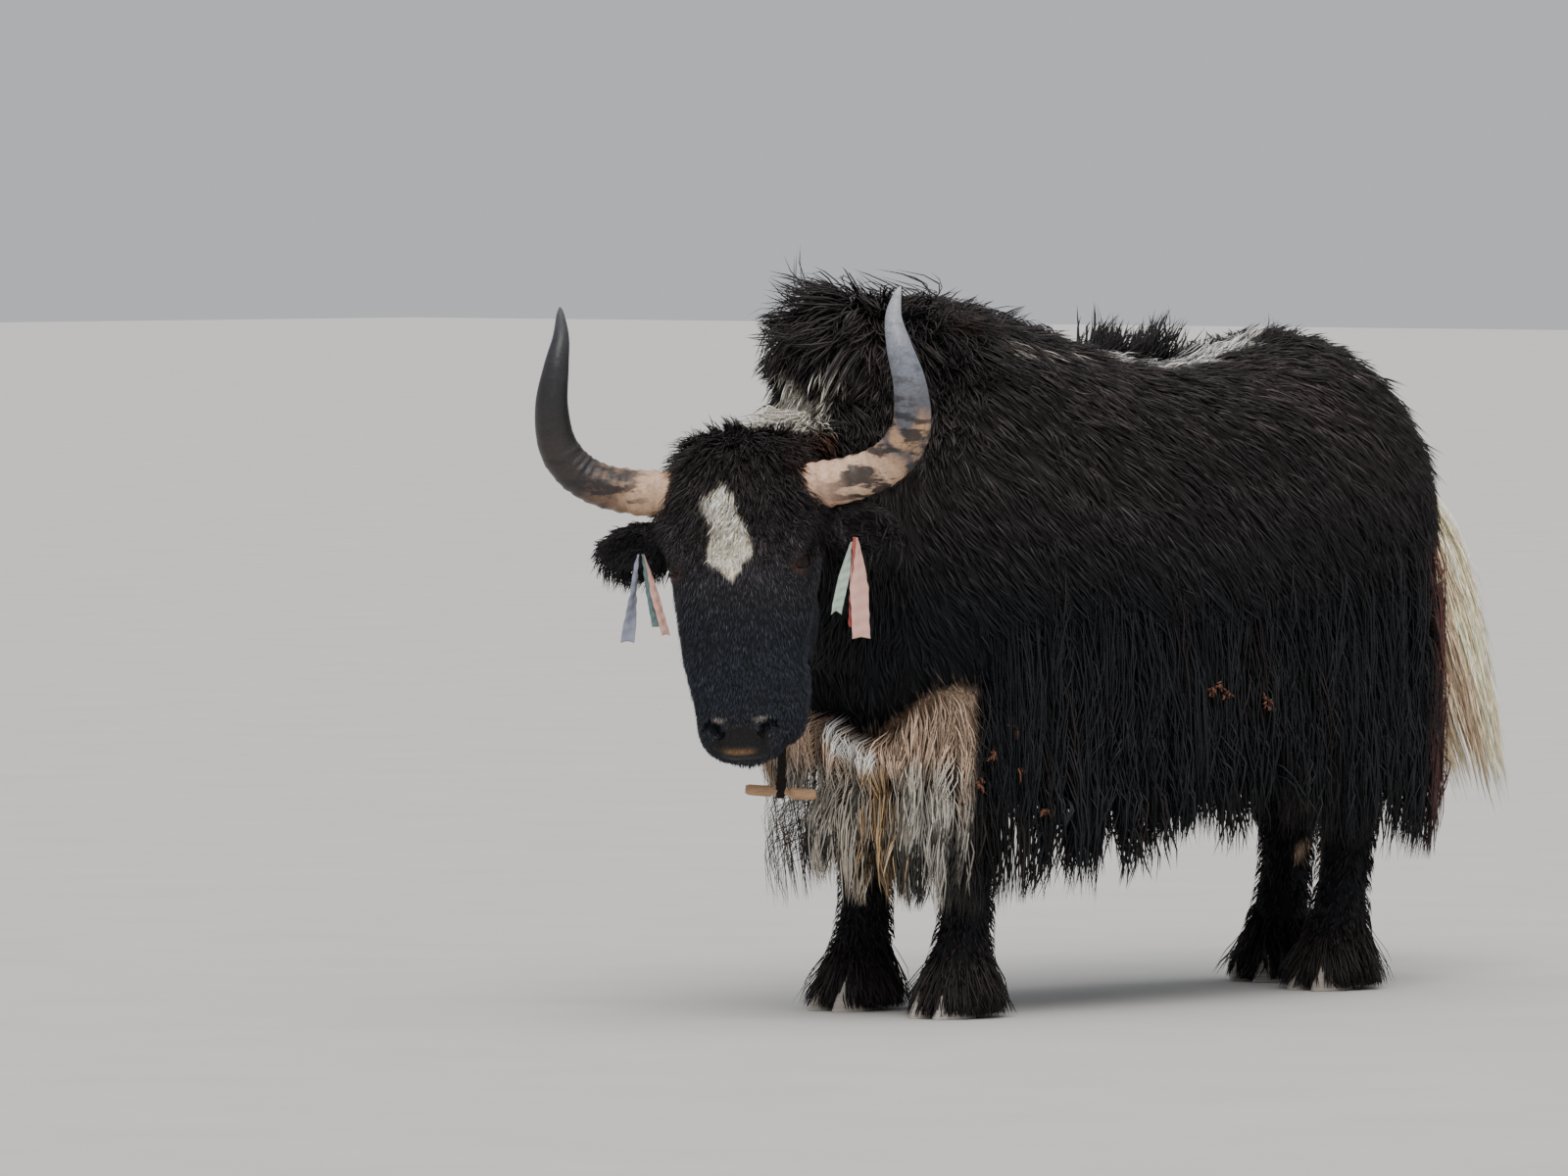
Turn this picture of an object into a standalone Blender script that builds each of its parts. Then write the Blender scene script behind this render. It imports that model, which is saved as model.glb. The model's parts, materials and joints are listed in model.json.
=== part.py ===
"""A life-size standing yak bull: body, horns, hooves, long coat, ear ribbons and throat toggle.

The yak faces -X, its left side is -Y and the floor is Z = 0. The flesh is lofted from named
sections and softened, and each named part of the body is a closed solid of its own.
"""

import math
import random
from collections import namedtuple

import bmesh
import bpy
import numpy as np
from mathutils import Matrix, Vector
from mathutils.bvhtree import BVHTree

# Driving dimensions in metres, to the surface of the flat coat.
HUMP_TOP = 1.365
BACK_TOP = 1.24
RUMP_TOP = 1.29
BELLY_BOTTOM = 0.46
BARREL_HALF_WIDTH = 0.375
SHOULDER_HALF_WIDTH = 0.30
LEG_CUT = 0.44
GAP = 0.0003
SEAT_GAP = 0.0005
CLEAR_OF_SEAT = 0.0008
BODY_VOXEL = 0.014
HEAD_VOXEL = 0.006

# Where the feet stand: the left hind foot is a little ahead of the right one.
FEET = {
    "front_right": (-0.556, 0.145),
    "front_left": (-0.594, -0.145),
    "rear_right": (0.645, 0.125),
    "rear_left": (0.52, -0.13),
}

# The head hangs from its poll: turned to the yak's left, leaned a little and bowed, in degrees.
HEAD_PLACE = Vector((-1.105, -0.048, 1.0))
HEAD_YAW = 32.5
HEAD_LEAN = -3.5
HEAD_BOW = -72
HEAD_LEVEL = (
    Matrix.Translation(HEAD_PLACE)
    @ Matrix.Rotation(math.radians(HEAD_YAW), 4, "Z")
    @ Matrix.Rotation(math.radians(HEAD_LEAN), 4, "X")
)
HEAD_FRAME = HEAD_LEVEL @ Matrix.Rotation(math.radians(HEAD_BOW), 4, "Y")

# The planes that part the head from the neck and the neck from the shoulders: a point, a normal.
HEAD_CUT = (Vector((-1.012, 0.0, 0.92)), Vector((-0.96, -0.27, 0.0)).normalized())
NECK_CUT = (Vector((-0.875, 0.0, 0.93)), Vector((-1, 0, 0)))
SHOULDER_END = -0.30
HAUNCH_START = 0.36

EYE_ALONG = -0.140
EYE_RADIUS = 0.021
EYE_DETAIL = 12
EYE_DEPTH = 0.66 * EYE_RADIUS
NOSTRIL_ALONG = -0.463
CLAW_LENGTH = 0.112
CLAW_WIDTH = 0.056
CLAW_HEIGHT = 0.075
CLAW_SIDES = 8
CLAW_SPLIT = 0.004
CLAW_AHEAD = 0.060
CLAW_LEAN = 0.028
CLAW_TAPER = 0.30

# A claw's outline shrinks upwards: a share of its height, and its size there.
CLAW_SHRINK = ((0.0, 1.0), (0.25, 0.97), (0.62, 0.86), (1.0, 0.70))

# The plane under each lower leg's hair: how far ahead of the foot, its height and its slope.
HEM_AHEAD = 0.02
HEM_HEIGHT = 0.024
HEM_NORMAL = (-0.14, 0, -1)

COLOURS = {
    "black_coat": (0.018, 0.015, 0.016),
    "white_coat": (0.62, 0.52, 0.40),
    "horn": (0.42, 0.33, 0.25),
    "hoof": (0.30, 0.28, 0.27),
    "eye": (0.03, 0.018, 0.012),
    "pink_cloth": (0.75, 0.42, 0.36),
    "mint_cloth": (0.42, 0.55, 0.46),
    "red_cloth": (0.50, 0.10, 0.09),
    "blue_cloth": (0.30, 0.33, 0.42),
    "teal_cloth": (0.12, 0.22, 0.22),
    "strap": (0.02, 0.018, 0.016),
    "wood": (0.48, 0.30, 0.17),
}

Section = namedtuple("Section", "at across top bottom half_width widest ridge")
LegSection = namedtuple("LegSection", "height ahead outward half_length half_width")

# The trunk, from the brisket to the rump: at is X, ridge narrows the upper half.
TRUNK = (
    Section(-0.895, 0, 1.120, 0.76, 0.080, 0.92, 1.0),
    Section(-0.850, 0, 1.235, 0.64, 0.150, 0.90, 1.1),
    Section(-0.770, 0, 1.325, 0.54, 0.225, 0.86, 1.2),
    Section(-0.600, 0, HUMP_TOP, 0.48, SHOULDER_HALF_WIDTH, 0.82, 1.25),
    Section(-0.450, 0, 1.355, 0.465, 0.325, 0.82, 1.25),
    Section(-0.300, 0, 1.318, 0.46, 0.345, 0.82, 1.2),
    Section(-0.100, 0, 1.262, BELLY_BOTTOM, 0.370, 0.83, 1.05),
    Section(0.100, 0, BACK_TOP, 0.462, BARREL_HALF_WIDTH, 0.84, 0.95),
    Section(0.300, 0, 1.262, 0.48, 0.350, 0.86, 0.95),
    Section(0.450, 0, RUMP_TOP, 0.51, 0.315, 0.90, 1.0),
    Section(0.600, 0, 1.262, 0.57, 0.280, 0.92, 1.0),
    Section(0.720, 0, 1.170, 0.66, 0.225, 0.92, 1.0),
    Section(0.790, 0, 1.050, 0.78, 0.130, 0.92, 1.0),
)

# The neck, from inside the shoulders to inside the back of the head.
NECK = (
    Section(-0.60, 0.000, 1.24, 0.56, 0.235, 0.90, 1.0),
    Section(-0.75, 0.000, 1.235, 0.60, 0.205, 0.90, 1.0),
    Section(-0.87, 0.000, 1.165, 0.66, 0.175, 0.90, 1.0),
    Section(-0.98, -0.010, 1.100, 0.71, 0.155, 0.90, 1.0),
    Section(-1.05, -0.020, 1.060, 0.75, 0.135, 0.90, 1.0),
)

# The head in its own frame, muzzle along -X and forehead up: top and bottom are local heights.
SKULL = (
    Section(0.100, 0, 0.010, -0.130, 0.100, -0.05, 1.0),
    Section(0.040, 0, 0.055, -0.150, 0.130, -0.04, 0.8),
    Section(-0.040, 0, 0.072, -0.175, 0.142, -0.03, 0.7),
    Section(-0.110, 0, 0.072, -0.185, 0.146, -0.03, 0.7),
    Section(-0.180, 0, 0.060, -0.180, 0.136, -0.04, 0.7),
    Section(-0.250, 0, 0.046, -0.160, 0.126, -0.04, 0.7),
    Section(-0.310, 0, 0.034, -0.130, 0.118, -0.04, 0.75),
    Section(-0.370, 0, 0.024, -0.105, 0.104, -0.04, 0.75),
    Section(-0.420, 0, 0.016, -0.096, 0.092, -0.04, 0.75),
    Section(-0.460, 0, 0.006, -0.092, 0.086, -0.04, 0.75),
    Section(-0.492, 0, -0.012, -0.090, 0.070, -0.045, 0.8),
    Section(-0.508, 0, -0.030, -0.074, 0.044, -0.050, 0.9),
)

# A foreleg and a hind leg, from the flesh inside the trunk to the hair over the hoof.
FRONT_LEG = (
    LegSection(0.78, 0.03, 0.040, 0.150, 0.105),
    LegSection(0.66, 0.03, 0.025, 0.130, 0.100),
    LegSection(0.54, 0.02, 0.012, 0.095, 0.082),
    LegSection(0.44, 0.01, 0.005, 0.076, 0.070),
    LegSection(0.34, 0.00, 0.000, 0.062, 0.059),
    LegSection(0.23, 0.01, 0.000, 0.051, 0.050),
    LegSection(0.14, 0.00, 0.000, 0.056, 0.056),
    LegSection(0.08, -0.012, 0.000, 0.076, 0.072),
    LegSection(0.015, -0.020, 0.000, 0.092, 0.084),
)
REAR_LEG = (
    LegSection(0.90, -0.04, 0.050, 0.190, 0.110),
    LegSection(0.74, -0.02, 0.040, 0.170, 0.105),
    LegSection(0.60, 0.00, 0.020, 0.130, 0.085),
    LegSection(0.50, 0.035, 0.008, 0.094, 0.070),
    LegSection(0.42, 0.045, 0.000, 0.074, 0.060),
    LegSection(0.32, 0.030, 0.000, 0.060, 0.055),
    LegSection(0.22, 0.012, 0.000, 0.054, 0.052),
    LegSection(0.14, 0.000, 0.000, 0.060, 0.058),
    LegSection(0.08, -0.012, 0.000, 0.078, 0.074),
    LegSection(0.015, -0.020, 0.000, 0.092, 0.086),
)


def clear_scene():
    """Removes the objects that the file opened with."""
    for obj in list(bpy.data.objects):
        bpy.data.objects.remove(obj, do_unlink=True)


def named_collection(name):
    """A new collection under the scene's own."""
    made = bpy.data.collections.new(name)
    bpy.context.scene.collection.children.link(made)
    return made


def material(slot):
    """The plain material of one finish, made once."""
    found = bpy.data.materials.get(slot)
    if found:
        return found
    made = bpy.data.materials.new(slot)
    made.use_nodes = True
    shader = made.node_tree.nodes["Principled BSDF"]
    shader.inputs["Base Color"].default_value = (*COLOURS[slot], 1.0)
    shader.inputs["Roughness"].default_value = 0.35 if slot in ("horn", "hoof", "eye") else 0.85
    shader.inputs["Metallic"].default_value = 0.0
    return made


def smooth_rows(rows, count):
    """Rows of numbers sampled evenly on the smooth curve through them."""
    known = np.array([tuple(row) for row in rows], float)
    padded = np.vstack([2 * known[0] - known[1], known, 2 * known[-1] - known[-2]])
    found = []
    for place in np.linspace(0, len(known) - 1, count):
        start = min(int(place), len(known) - 2)
        t = place - start
        before, near, far, after = padded[start : start + 4]
        found.append(
            0.5
            * (
                2 * near
                + (far - before) * t
                + (2 * before - 5 * near + 4 * far - after) * t**2
                + (3 * near - before - 3 * far + after) * t**3
            )
        )
    return np.array(found)


def mesh_object(name, bm, collection):
    """An object whose mesh is the bmesh, with its faces turned outwards."""
    bmesh.ops.recalc_face_normals(bm, faces=bm.faces)
    mesh = bpy.data.meshes.new(name)
    bm.to_mesh(mesh)
    bm.free()
    obj = bpy.data.objects.new(name, mesh)
    collection.objects.link(obj)
    return obj


def loft(name, rings, collection, pointed=False):
    """A closed skin over rings of equally many points. A pointed loft ends in its last ring's middle."""
    bm = bmesh.new()
    body = rings[:-1] if pointed else rings
    loops = [[bm.verts.new(point) for point in ring] for ring in body]
    count = len(loops[0])
    for first, second in zip(loops, loops[1:]):
        for i in range(count):
            j = (i + 1) % count
            bm.faces.new((first[i], first[j], second[j], second[i]))
    bm.faces.new(list(reversed(loops[0])))
    if pointed:
        tip = bm.verts.new(sum((Vector(p) for p in rings[-1]), Vector()) / count)
        for i in range(count):
            bm.faces.new((loops[-1][i], loops[-1][(i + 1) % count], tip))
    else:
        bm.faces.new(loops[-1])
    return mesh_object(name, bm, collection)


def section_ring(section, count):
    """The outline of one upright section: its upper half narrows by its ridge."""
    points = []
    for k in range(count):
        angle = 2 * math.pi * k / count
        side, rise = math.cos(angle), math.sin(angle)
        tall = section.top - section.widest if rise > 0 else section.widest - section.bottom
        power = section.ridge if rise > 0 else 0.85
        wide = math.copysign(abs(side) ** power, side) * section.half_width
        points.append(Vector((section.at, section.across + wide, section.widest + tall * rise)))
    return points


def section_loft(name, sections, steps, count, collection):
    """A closed loft through named sections."""
    rows = smooth_rows(sections, steps)
    return loft(name, [section_ring(Section(*row), count) for row in rows], collection)


def leg_loft(name, foot, sections, side, steps, count, collection):
    """A leg that stands over its foot. Side is 1 for the right and -1 for the left."""
    rings = []
    for row in smooth_rows(sections, steps):
        part = LegSection(*row)
        rings.append(
            [
                Vector(
                    (
                        foot[0] + part.ahead + part.half_length * math.cos(2 * math.pi * k / count),
                        foot[1]
                        + side * part.outward
                        + part.half_width * math.sin(2 * math.pi * k / count),
                        part.height,
                    )
                )
                for k in range(count)
            ]
        )
    return loft(name, rings, collection)


def path_frames(points, up):
    """For each point of a path, the direction across it and the direction out of it."""
    frames = []
    for i, point in enumerate(points):
        along = points[min(i + 1, len(points) - 1)] - points[max(i - 1, 0)]
        across = along.cross(up)
        across = across.normalized() if across.length > 1e-9 else Vector((0, 1, 0))
        frames.append((across, across.cross(along).normalized()))
    return frames


def tube(name, points, sizes, count, collection, up=Vector((0, 0, 1)), pointed=False):
    """A tube along points, of an elliptic section whose half sizes are across and out of the path."""
    rings = []
    for point, size, (across, out) in zip(points, sizes, path_frames(points, up)):
        rings.append(
            [
                point
                + across * (size[0] * math.cos(2 * math.pi * k / count))
                + out * (size[1] * math.sin(2 * math.pi * k / count))
                for k in range(count)
            ]
        )
    return loft(name, rings, collection, pointed)


def smooth_path(points, count):
    """Points spread evenly on the smooth curve through a route's own points."""
    return [Vector(row) for row in smooth_rows(points, count)]


def ellipsoid(name, centre, sizes, collection, turn=Matrix.Identity(4), detail=16):
    """A ball stretched to three half sizes, turned and placed."""
    bm = bmesh.new()
    bmesh.ops.create_uvsphere(bm, u_segments=detail, v_segments=detail // 2, radius=1.0)
    shape = Matrix.Translation(centre) @ turn @ Matrix.Diagonal((*sizes, 1.0))
    bmesh.ops.transform(bm, matrix=shape, verts=bm.verts)
    return mesh_object(name, bm, collection)


def box(name, low, high, collection):
    """A plain box between two corners."""
    bm = bmesh.new()
    bmesh.ops.create_cube(bm, size=1.0)
    low, high = Vector(low), Vector(high)
    shape = Matrix.Translation((low + high) / 2) @ Matrix.Diagonal((*(high - low), 1.0))
    bmesh.ops.transform(bm, matrix=shape, verts=bm.verts)
    return mesh_object(name, bm, collection)


def remove(obj):
    """Deletes a helper."""
    bpy.data.objects.remove(obj, do_unlink=True)


def settle(obj):
    """Makes the object's mesh what its modifiers make of it."""
    bpy.context.view_layer.update()
    graph = bpy.context.evaluated_depsgraph_get()
    mesh = bpy.data.meshes.new_from_object(obj.evaluated_get(graph))
    obj.modifiers.clear()
    obj.data = mesh
    return obj


def soften(name, pieces, voxel, passes, triangles, collection):
    """One soft body from overlapping pieces, reduced to about that many triangles."""
    bm = bmesh.new()
    for piece in pieces:
        bm.from_mesh(piece.data)
    obj = mesh_object(name, bm, collection)
    for piece in pieces:
        remove(piece)
    merged = obj.modifiers.new("Merge", "REMESH")
    merged.mode = "VOXEL"
    merged.voxel_size = voxel
    smoothing = obj.modifiers.new("Soften", "SMOOTH")
    smoothing.factor = 0.5
    smoothing.iterations = passes
    settle(obj)
    fewer = obj.modifiers.new("Reduce", "DECIMATE")
    fewer.ratio = triangles / (2 * len(obj.data.polygons))
    return settle(obj)


def closed(mesh):
    """Whether each edge of a mesh joins two faces that face the same way."""
    bm = bmesh.new()
    bm.from_mesh(mesh)
    whole = all(edge.is_manifold and edge.is_contiguous for edge in bm.edges)
    bm.free()
    return whole


def reduced(obj, share):
    """Leaves an object about that share of its triangles, the flattest ones going first.

    A share that would open the surface is passed over, and the object stays whole if all would.
    """
    before = obj.data
    for step in (0, 0.02, -0.02, 0.05):
        obj.data = before.copy()
        fewer = obj.modifiers.new("Reduce", "DECIMATE")
        fewer.ratio = share + step
        largest_body(settle(obj))
        if closed(obj.data):
            return obj
    obj.data = before
    return obj


def copy_of(obj, name, collection):
    """A copy of an object with a mesh of its own."""
    made = bpy.data.objects.new(name, obj.data.copy())
    collection.objects.link(made)
    return made


def swollen(obj, by, collection):
    """A cutter: the object's shape grown outwards by a gap."""
    made = copy_of(obj, obj.name + "_swollen", collection)
    bm = bmesh.new()
    bm.from_mesh(made.data)
    bm.normal_update()
    for vert in bm.verts:
        vert.co += vert.normal * by * vert.calc_shell_factor()
    bm.to_mesh(made.data)
    bm.free()
    return made


def largest_body(obj):
    """Keeps an object's largest closed surface."""
    bm = bmesh.new()
    bm.from_mesh(obj.data)
    unseen = set(bm.faces)
    bodies = []
    while unseen:
        start = unseen.pop()
        found, queue = [start], [start]
        while queue:
            for edge in queue.pop().edges:
                for face in edge.link_faces:
                    if face in unseen and len(edge.link_faces) == 2:
                        unseen.discard(face)
                        found.append(face)
                        queue.append(face)
        bodies.append((sum(face.calc_area() for face in found), len(bodies), found))
    for _, _, faces in sorted(bodies)[:-1]:
        bmesh.ops.delete(bm, geom=faces, context="FACES")
    bm.to_mesh(obj.data)
    bm.free()
    return obj


def combine(obj, operation, others, solver="MANIFOLD"):
    """Applies one Boolean with a collection of closed meshes, which are then removed."""
    if not others:
        return obj
    group = bpy.data.collections.new(obj.name + "_operands")
    bpy.context.scene.collection.children.link(group)
    for other in others:
        for owner in list(other.users_collection):
            owner.objects.unlink(other)
        group.objects.link(other)
    change = obj.modifiers.new(operation.title(), "BOOLEAN")
    change.operation = operation
    change.operand_type = "COLLECTION"
    change.collection = group
    change.solver = solver
    settle(obj)
    for other in list(group.objects):
        remove(other)
    bpy.data.collections.remove(group)
    return largest_body(obj)


def clear_of(piece, others, helpers, gap=SEAT_GAP):
    """Cuts a piece where it meets its neighbours, a small gap clear of them."""
    combine(piece, "DIFFERENCE", [swollen(other, gap, helpers) for other in others])
    copies = [copy_of(other, other.name + "_copy", helpers) for other in others]
    return combine(piece, "DIFFERENCE", copies)


def half_space(name, point, normal, helpers, reach=4.0):
    """A large cutter box that fills the side of a plane that its normal points to."""
    made = box(name, (-reach, -reach, 0), (reach, reach, reach), helpers)
    turn = Vector(normal).to_track_quat("Z", "Y").to_matrix().to_4x4()
    made.data.transform(Matrix.Translation(Vector(point)) @ turn)
    return made


def surface_point(obj, start, towards):
    """Where a ray from start first meets the object's surface, and the surface's normal there."""
    tree = BVHTree.FromPolygons(
        [vert.co for vert in obj.data.vertices], [tuple(f.vertices) for f in obj.data.polygons]
    )
    start = Vector(start)
    hit, normal, _, _ = tree.ray_cast(start, (Vector(towards) - start).normalized())
    return hit, normal


def finish(obj, slot):
    """Gives a finished node its material and smooth shading."""
    obj.data.materials.clear()
    obj.data.materials.append(material(slot))
    obj.data.shade_smooth()
    obj.data.set_sharp_from_angle(angle=math.radians(40))
    return obj


def cut(obj, cutters):
    """Takes the cutters out of an object."""
    return combine(obj, "DIFFERENCE", cutters)


def joined(obj, pieces):
    """Adds the pieces to an object."""
    return combine(obj, "UNION", pieces)


def beyond(point, normal, helpers, back=GAP / 2):
    """A cutter for what lies past a plane, starting a little before it."""
    normal = Vector(normal).normalized()
    return half_space("beyond", Vector(point) - normal * back, normal, helpers)


def place_in_head(outward, forward, up):
    """A point beside the head in metres: outward to the yak's right, forward as it faces, and up."""
    return HEAD_LEVEL @ Vector((-forward, outward, up))


def eye_place(head, side):
    """An eye's middle in the head's frame, and the direction that it looks."""
    looks = Vector((-0.28, side * 0.90, 0.34)).normalized()
    start = Vector((EYE_ALONG, side * 0.09, 0.005)) + looks * 0.3
    hit, _ = surface_point(head, start, start - looks)
    return hit - looks * EYE_DEPTH, looks


def eyelid(place, looks, lift, helpers):
    """One lid: a soft roll along the eyeball, lifted from its middle by an angle in degrees."""
    rise = (Vector((0.75, 0, 0.66)) - looks * Vector((0.75, 0, 0.66)).dot(looks)).normalized()
    across = rise.cross(looks)
    route, sizes = [], []
    for k in range(9):
        share = -1 + k / 4
        swing = math.radians(76 * share)
        tilt = math.radians(lift) * math.cos(math.pi / 2 * share) ** 0.7
        flat = across * math.sin(swing) + looks * math.cos(swing)
        route.append(place + (flat * math.cos(tilt) + rise * math.sin(tilt)) * (1.07 * EYE_RADIUS))
        thick = 0.0024 + 0.0020 * math.cos(math.pi / 2 * share)
        sizes.append((thick, thick))
    return tube("lid", route, sizes, 5, helpers, up=looks)


def build_head(parts, helpers):
    """The head with its brows, cheeks, muzzle, lips and lids, in its own frame, and the eyes' places."""
    pieces = [section_loft("skull", SKULL, 34, 28, helpers)]
    for side in (-1, 1):
        pieces += [
            ellipsoid("brow", (-0.100, side * 0.100, 0.036), (0.060, 0.040, 0.026), helpers),
            ellipsoid("cheek", (-0.205, side * 0.086, -0.095), (0.110, 0.042, 0.070), helpers),
            ellipsoid("nostril_wing", (-0.466, side * 0.056, -0.010), (0.030, 0.026, 0.022), helpers),
        ]
    pieces += [
        ellipsoid("upper_lip", (-0.478, 0, -0.032), (0.034, 0.076, 0.026), helpers),
        ellipsoid("chin", (-0.474, 0, -0.084), (0.040, 0.058, 0.022), helpers),
        section_loft("nape", NECK[2:], 8, 24, helpers),
    ]
    pieces[-1].data.transform(HEAD_FRAME.inverted())
    head = soften("head", pieces, HEAD_VOXEL, 3, 1500, parts)
    lids, eyes = [], {}
    for side, word in ((-1, "left"), (1, "right")):
        place, looks = eye_place(head, side)
        eyes[word] = place
        lids += [eyelid(place, looks, 37, helpers), eyelid(place, looks, -31, helpers)]
    return joined(head, lids), eyes


def open_features(head, eyes, helpers):
    """Cuts the sockets, the nostrils and the line of the mouth."""
    cutters = []
    for side, word in ((-1, "left"), (1, "right")):
        cutters.append(ellipsoid("socket", eyes[word], (EYE_RADIUS + GAP,) * 3, helpers, detail=EYE_DETAIL))
        slant = Matrix.Rotation(side * math.radians(28), 4, "Z")
        nostril = (NOSTRIL_ALONG, side * 0.046, 0.006)
        cutters.append(ellipsoid("nostril", nostril, (0.017, 0.009, 0.024), helpers, slant, 10))
    middle = Vector((-0.44, 0, -0.058))
    mouth = [
        surface_point(head, middle + Vector((-0.3 * math.cos(a), 0.3 * math.sin(a), 0.012)), middle)[0]
        for a in np.radians(np.linspace(-62, 62, 11))
    ]
    cutters.append(tube("mouth", mouth, [(0.006, 0.003)] * 11, 4, helpers))
    return cut(head, cutters)


def build_eye(word, place, parts):
    """An eyeball in its socket."""
    eye = ellipsoid(f"eye_{word}", place, (EYE_RADIUS,) * 3, parts, detail=EYE_DETAIL)
    eye.data.transform(HEAD_FRAME)
    return eye


# A horn's middle line beside the head: outward, forward, up and radius.
HORN = (
    (0.095, -0.005, -0.008, 0.044),
    (0.150, 0.000, 0.000, 0.044),
    (0.205, 0.004, 0.008, 0.042),
    (0.262, 0.010, 0.024, 0.040),
    (0.308, 0.018, 0.056, 0.039),
    (0.335, 0.030, 0.105, 0.036),
    (0.338, 0.045, 0.175, 0.031),
    (0.324, 0.052, 0.245, 0.024),
    (0.314, 0.040, 0.300, 0.016),
    (0.318, 0.010, 0.342, 0.008),
    (0.322, -0.010, 0.358, 0.002),
)


def build_horn(word, head, parts, helpers):
    """One horn: out level from the poll, then up, its tip leaning back."""
    side = 1 if word == "right" else -1
    rows = smooth_rows(HORN, 17)
    route = [place_in_head(side * row[0], row[1], row[2]) for row in rows]
    sizes = [(row[3], row[3] * 0.94) for row in rows]
    horn = tube(f"horn_{word}", route, sizes, 8, parts, up=Vector((0.84, 0.54, 0)), pointed=True)
    return clear_of(horn, [head], helpers)


# Each ear's middle, outward from the head and up, with its furred cup and the hollow in it.
EAR_PLACES = {"right": (0.195, -0.096), "left": (0.212, -0.080)}
EAR_BACK = 0.005
EAR_OPEN = 12
EAR_CUP = (0.024, 0.085, 0.052)
EAR_HOLLOW = (0.028, 0.047, 0.034)

# The ear's fringe: where each lock is rooted, outward and up from the ear's middle, and its length.
EAR_FRINGE = ((0.010, -0.034, 0.060), (0.040, -0.030, 0.064), (0.066, -0.014, 0.056))


def build_ear(word, head, parts, helpers):
    """One ear: a furred cup that opens forwards, level and drooping a little."""
    side = 1 if word == "right" else -1
    away, rise = EAR_PLACES[word]
    centre = place_in_head(side * away, -EAR_BACK, rise)
    turn = Matrix.Rotation(math.radians(HEAD_YAW + side * EAR_OPEN), 4, "Z")
    turn = turn @ Matrix.Rotation(math.radians(-6 * side - 4), 4, "X")
    ear = ellipsoid(f"ear_{word}", centre, EAR_CUP, parts, turn, 12)
    scoop = centre + turn.to_3x3() @ Vector((-0.026, side * 0.030, -0.004))
    cut(ear, [ellipsoid("scoop", scoop, EAR_HOLLOW, helpers, turn, 10)])
    fringe = []
    for outward, rise, length in EAR_FRINGE:
        root = Vector((0.008, side * outward, rise))
        falls = Vector((0.1, side * (4 * outward), -1)).normalized() * length
        route = [root, root + falls * 0.35, root + falls * 0.7, root + falls]
        route = [centre + turn.to_3x3() @ place for place in route]
        across = turn.to_3x3() @ Vector((0, 1, side * 4 * outward)).normalized()
        fringe.append(lock(route, across, 0.034, helpers, thickness=0.008))
    joined(ear, fringe)
    return clear_of(ear, [head], helpers)


def build_flesh(parts, helpers):
    """The trunk, neck and legs as one soft body."""
    pieces = [
        section_loft("trunk", TRUNK, 40, 32, helpers),
        section_loft("neck", NECK, 16, 28, helpers),
    ]
    for name, foot in FEET.items():
        side = 1 if "right" in name else -1
        sections = FRONT_LEG if "front" in name else REAR_LEG
        pieces.append(leg_loft(name, foot, sections, side, 22, 20, helpers))
    return soften("flesh", pieces, BODY_VOXEL, 6, 2900, helpers)


def build_claw(name, foot, side, inner, parts):
    """Half of a cloven hoof with its flat sole on the floor and its toe to the front."""
    across = foot[1] + side * (-1 if inner else 1) * (CLAW_WIDTH + CLAW_SPLIT) / 2
    rings = []
    for height, scale in CLAW_SHRINK:
        ring = []
        for k in range(CLAW_SIDES):
            angle = 2 * math.pi * k / CLAW_SIDES
            along = math.cos(angle) * CLAW_LENGTH / 2 * scale
            taper = 1 - CLAW_TAPER * max(-math.cos(angle), 0) ** 2
            wide = math.sin(angle) * CLAW_WIDTH / 2 * scale * taper
            middle = foot[0] - CLAW_AHEAD + CLAW_LEAN * height
            ring.append(Vector((middle + along, across + wide, height * CLAW_HEIGHT)))
        rings.append(ring)
    return loft(name, rings, parts)


def build_leg(name, flesh, claws, parts, helpers):
    """A lower leg, its hem of hair higher at the front of the hoof."""
    leg = copy_of(flesh, f"leg_{name}", parts)
    foot = FEET[name]
    side = 1 if "right" in name else -1
    ahead = -1 if "front" in name else 1
    cutters = [
        beyond((0, 0, LEG_CUT), (0, 0, 1), helpers),
        beyond((0, 0, 0), (0, -side, 0), helpers),
        beyond((0, 0, 0), (-ahead, 0, 0), helpers),
        half_space("hem", (foot[0] - HEM_AHEAD, 0, HEM_HEIGHT), HEM_NORMAL, helpers, 1.0),
    ]
    cut(leg, cutters)
    reduced(leg, LEG_SHARE)
    return clear_of(leg, claws, helpers)


# The hanging hair: where its outer face lies below the barrel, and how far down it goes.
Hair = namedtuple("Hair", "x y high low")
HAIR_LINE = (
    Hair(-0.862, 0.000, 0.67, 0.25),
    Hair(-0.845, 0.100, 0.70, 0.23),
    Hair(-0.790, 0.190, 0.78, 0.22),
    Hair(-0.680, 0.270, 0.82, 0.22),
    Hair(-0.500, 0.320, 0.80, 0.235),
    Hair(-0.300, 0.345, 0.80, 0.24),
    Hair(-0.100, 0.365, 0.80, 0.31),
    Hair(0.100, 0.370, 0.80, 0.325),
    Hair(0.300, 0.350, 0.80, 0.30),
    Hair(0.450, 0.320, 0.82, 0.295),
    Hair(0.600, 0.285, 0.84, 0.295),
    Hair(0.720, 0.235, 0.84, 0.30),
    Hair(0.795, 0.150, 0.84, 0.32),
    Hair(0.825, 0.050, 0.84, 0.36),
)
CORE_REACH = 0.46

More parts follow.
